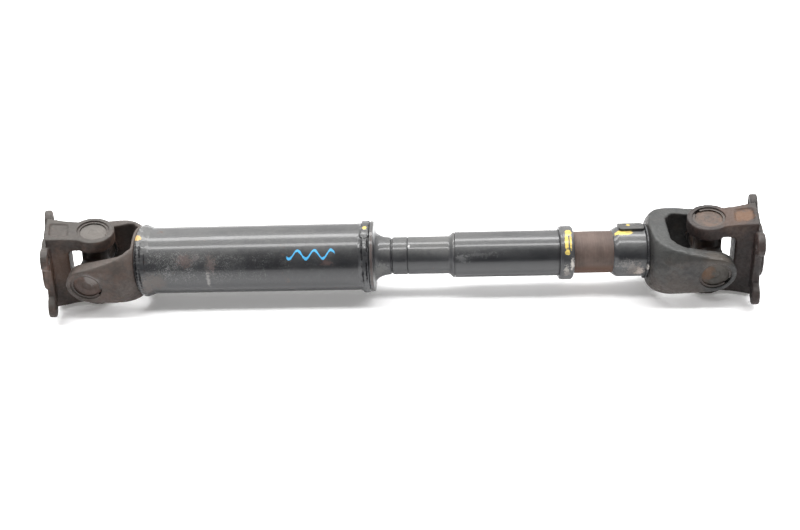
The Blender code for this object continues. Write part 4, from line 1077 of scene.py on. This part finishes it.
alongShaft("plug_disc", [(plugAt + 0.5, 0), (plugAt, 8.5), (plugAt + 0.6, 14.6), (plugAt + 2.0, 14.6),
                         (plugAt + 2.0, 8.5), (plugAt + 2.4, 0)],
           materials["ground"], "slip_shaft", ["grease_plug"], 64, ease=0.8 * mm)
print("turned pieces made")


# weld beads: lumps laid round a plain ring, melted together
bead = {"voxel": 0.55 * mm, "ripple": 0.45 * mm, "rippleSize": 4 * mm, "root": 1.1, "lumpAlong": 0.85 * mm}


def beadHeight(share, crest, foot):
    # a bead's section: 0 at its edges, 1 at its crest, with a long foot on one side
    if foot == "none":
        return math.sin(math.pi * min(max(share, 0.0), 1.0)) ** 0.6
    if foot == "right":
        share, crest = 1 - share, 1 - crest
    if share > crest:
        # the steep side meets the next piece at part height
        return math.sqrt(1 - 0.75 * ((share - crest) / (1 - crest)) ** 2)
    return 0.5 - 0.5 * math.cos(math.pi * share / crest)


def weldBead(node, name, shape, material, body):
    start, end, reach = spanOf(node)
    width, base = end - start, shape["base"]
    height = reach - base
    line = [(start, base - bead["root"]), (end, base - bead["root"])]
    for step in range(17):
        share = 1 - step / 16
        rise = (height - 0.5) * beadHeight(share, shape["crest"], shape["foot"]) - 0.1
        line.append((start + share * width, base + rise))
    core = latheMesh("core", [(x * mm, radius * mm, 0) for x, radius in line], 160, closed=True)
    lump = bmesh.new()
    size = (bead["lumpAlong"], shape["lump"] * 0.5 * mm, shape["lumpWidth"] * 0.5 * mm, 1.0)
    bmesh.ops.create_icosphere(lump, subdivisions=2, radius=1.0, matrix=Matrix.Diagonal(size))
    lumps = repeated(name + "_lumps", meshFrom(lump, "lump"), material, Count=shape["count"],
                     Radius=(reach - 1.15) * mm, Size_Change=shape["spread"], Seed=shape["seed"])
    lumps.transform(Matrix.Translation((0, 0, (start + shape["crest"] * width) * mm)))
    mesh = takenMesh(melted(name, joinedMesh(name, [core, lumps]), bead["voxel"], shape["ease"],
                            [("ripple", bead["rippleSize"], 2, bead["ripple"])]))
    return finish(name, mesh, material, body, [node], seatOf["shaft"] @ pointZAlong["x"], 60)


weldBead("tube_yoke_weld_bead", "tube_weld",
         {"base": 32.5, "crest": 0.26, "foot": "right", "count": 64, "lump": 3.8, "lumpWidth": 5.0,
          "spread": 0.3, "seed": 5, "ease": 3}, materials["tubeWeld"], "tube_shaft")
weldBead("stub_weld_bead", "stub_weld",
         {"base": 32.5, "crest": 0.62, "foot": "left", "count": 26, "lump": 8.0, "lumpWidth": 6.5,
          "spread": 0.4, "seed": 8, "ease": 2}, materials["stubWeld"], "tube_shaft")
weldBead("slip_yoke_weld_bead", "slip_weld",
         {"base": 24.3, "crest": 0.5, "foot": "none", "count": 46, "lump": 3.2, "lumpWidth": 3.2,
          "spread": 0.4, "seed": 11, "ease": 1}, materials["slipWeld"], "slip_shaft")
print("welds laid")


# balance weight: a bent plate with rounded corners and two spot welds
weight = {
    "inner": sleeve["barrel"] + 0.3,
    "thick": 2.8,
    "arc": 33.0,
    "lean": 18.0,
    "corner": 2.2,
    "steps": (40, 26),
    "spots": (-0.26, 0.26),     # the two spot welds, in shares of the length
}
weight["start"], weight["end"] = spanOf("balance_weight")[:2]


def weightMesh():
    work = bmesh.new()
    length = weight["end"] - weight["start"]
    across = weight["inner"] + weight["thick"]
    width = math.radians(weight["arc"]) * across
    steps, rows = weight["steps"]
    corner = weight["corner"]
    layers = []
    for outer in (False, True):
        grid = []
        for i in range(steps + 1):
            row = []
            for j in range(rows + 1):
                u = (i / steps - 0.5) * length
                v = (j / rows - 0.5) * width
                # pull the corners in to a round
                du, dv = abs(u) - (length / 2 - corner), abs(v) - (width / 2 - corner)
                if du > 0 and dv > 0 and math.hypot(du, dv) > corner:
                    shrink = corner / math.hypot(du, dv)
                    u = math.copysign(length / 2 - corner + du * shrink, u)
                    v = math.copysign(width / 2 - corner + dv * shrink, v)
                edge = min(length / 2 - abs(u), width / 2 - abs(v))
                radius = weight["inner"]
                if outer:
                    radius += weight["thick"] - max(0.0, 0.7 - edge) * 0.8
                    for at in weight["spots"]:
                        far = math.hypot(u - at * length, v)
                        pit, rim = math.exp(-((far / 2.2) ** 2)), math.exp(-((far - 3.2) ** 2))
                        radius -= 0.7 * pit - 0.35 * rim
                turn = math.radians(-weight["lean"]) + v / across
                x = (weight["start"] + weight["end"]) / 2 + u
                place = Vector((x, -radius * math.sin(turn), radius * math.cos(turn)))
                row.append(work.verts.new(place * mm))
            grid.append(row)
        layers.append(grid)
    for grid in layers:
        for i in range(steps):
            for j in range(rows):
                work.faces.new((grid[i][j], grid[i + 1][j], grid[i + 1][j + 1], grid[i][j + 1]))
    inner, outer = layers
    border = [(i, 0) for i in range(steps)] + [(steps, j) for j in range(rows)]
    border += [(i, rows) for i in range(steps, 0, -1)] + [(0, j) for j in range(rows, 0, -1)]
    for (a, b), (c, d) in zip(border, border[1:] + border[:1]):
        work.faces.new((inner[a][b], outer[a][b], outer[c][d], inner[c][d]))
    bmesh.ops.remove_doubles(work, verts=work.verts, dist=0.00001)
    bmesh.ops.recalc_face_normals(work, faces=work.faces)
    return meshFrom(work, "weight")


finish("weight_plate", weightMesh(), materials["weight"], "slip_shaft",
       ["balance_weight"], seatOf["shaft"], 50)


# floor, light and camera
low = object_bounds()[0]
floorSettings = {
    "size": 8.0,
    "colour": (0.86, 0.86, 0.865),
    "glow": (1.0, 0.985, 0.96),
    "glowNear": 0.18,       # keeps the shadow under the shaft as pale as bounced light would
    "glowFar": 1.0,
    "fadeFrom": 2.1,
    "fadeTo": 3.7,
    "below": 0.1 * mm,
}


def makeFloor():
    material, tree, shader, place = startMaterial("pale_floor", 0.25)
    shader.inputs["Base Color"].default_value = (*floorSettings["colour"], 1.0)
    shader.inputs["Roughness"].default_value = 0.55
    shader.inputs["Emission Color"].default_value = (*floorSettings["glow"], 1.0)
    # the floor fades to plain white before its edge
    far = add(tree, "VectorMath", {0: place}, operation="LENGTH").outputs["Value"]
    glow = between(tree, far, floorSettings["fadeFrom"], floorSettings["fadeTo"],
                   floorSettings["glowNear"], floorSettings["glowFar"])
    tree.links.new(glow, shader.inputs["Emission Strength"])
    work = bmesh.new()
    bmesh.ops.create_grid(work, x_segments=1, y_segments=1, size=floorSettings["size"] / 2)
    mesh = meshFrom(work, "floor")
    mesh.materials.append(material)
    ground = bpy.data.objects.new("floor", mesh)
    ground.location = (0.33, 0.6, low.z - floorSettings["below"])
    bpy.context.scene.collection.objects.link(ground)


makeFloor()
# power in watts, size in metres, height above the floor and distance behind the shaft
lighting = {
    "rearStrip": (46, (3.2, 0.34), 1.30, 0.67),
    "frontStrip": (30, (3.2, 0.20), 1.30, -0.15),
    "rearPanel": (12, (4.0, 1.6), 1.3, 2.0),
    "fill": (1.8, (3.0, 1.2), 1.2, -1.9),
}
middle = Vector((0.36, 0.0, 0.0))
for name, (power, size, height, behind) in lighting.items():
    lamp = bpy.data.lights.new(name, "AREA")
    lamp.shape = "RECTANGLE"
    lamp.size, lamp.size_y = size
    lamp.energy = power
    holder = bpy.data.objects.new(name, lamp)
    holder.location = middle + Vector((0.0, behind, height))
    holder.rotation_euler = (middle - holder.location).to_track_quat("-Z", "Z").to_euler()
    holder.visible_camera = False
    bpy.context.scene.collection.objects.link(holder)

# surroundings: dark in front, bright behind, and plain white where they are seen directly
surround = {"dark": 0.07, "bright": 1.02, "from": -0.75, "to": 0.35}
world = bpy.data.worlds.new("studio")
bpy.context.scene.world = world
world.use_nodes = True
sky = world.node_tree
background = sky.nodes["Background"]
background.inputs["Color"].default_value = (1.0, 1.0, 1.0, 1.0)
backwards = add(sky, "SeparateXYZ", {0: add(sky, "TexCoord").outputs["Generated"]}).outputs[1]
fade = between(sky, backwards, surround["from"], surround["to"], surround["dark"], surround["bright"])
strength = maths(sky, "MAXIMUM", fade, add(sky, "LightPath").outputs["Is Camera Ray"])
sky.links.new(strength, background.inputs["Strength"])

camera = bpy.data.cameras.new("camera")
camera.lens = 43.6
camera.sensor_width = 36
camera.clip_start = 0.02
cameraHolder = bpy.data.objects.new("camera", camera)
right = Vector((0.99853, 0.02681, -0.04709))
up = Vector((0.01895, 0.64141, 0.76696))
back = right.cross(up)
spot = tubeCross + Vector((346.8, -726.9, 594.8)) * mm
cameraHolder.matrix_world = Matrix.Translation(spot) @ Matrix((right, up, back)).transposed().to_4x4()
bpy.context.scene.collection.objects.link(cameraHolder)
bpy.context.scene.camera = cameraHolder
bpy.context.scene.view_settings.view_transform = "Standard"

for used in list(workshop.objects):
    bpy.data.objects.remove(used, do_unlink=True)
bpy.data.collections.remove(workshop)

print("scene finished")
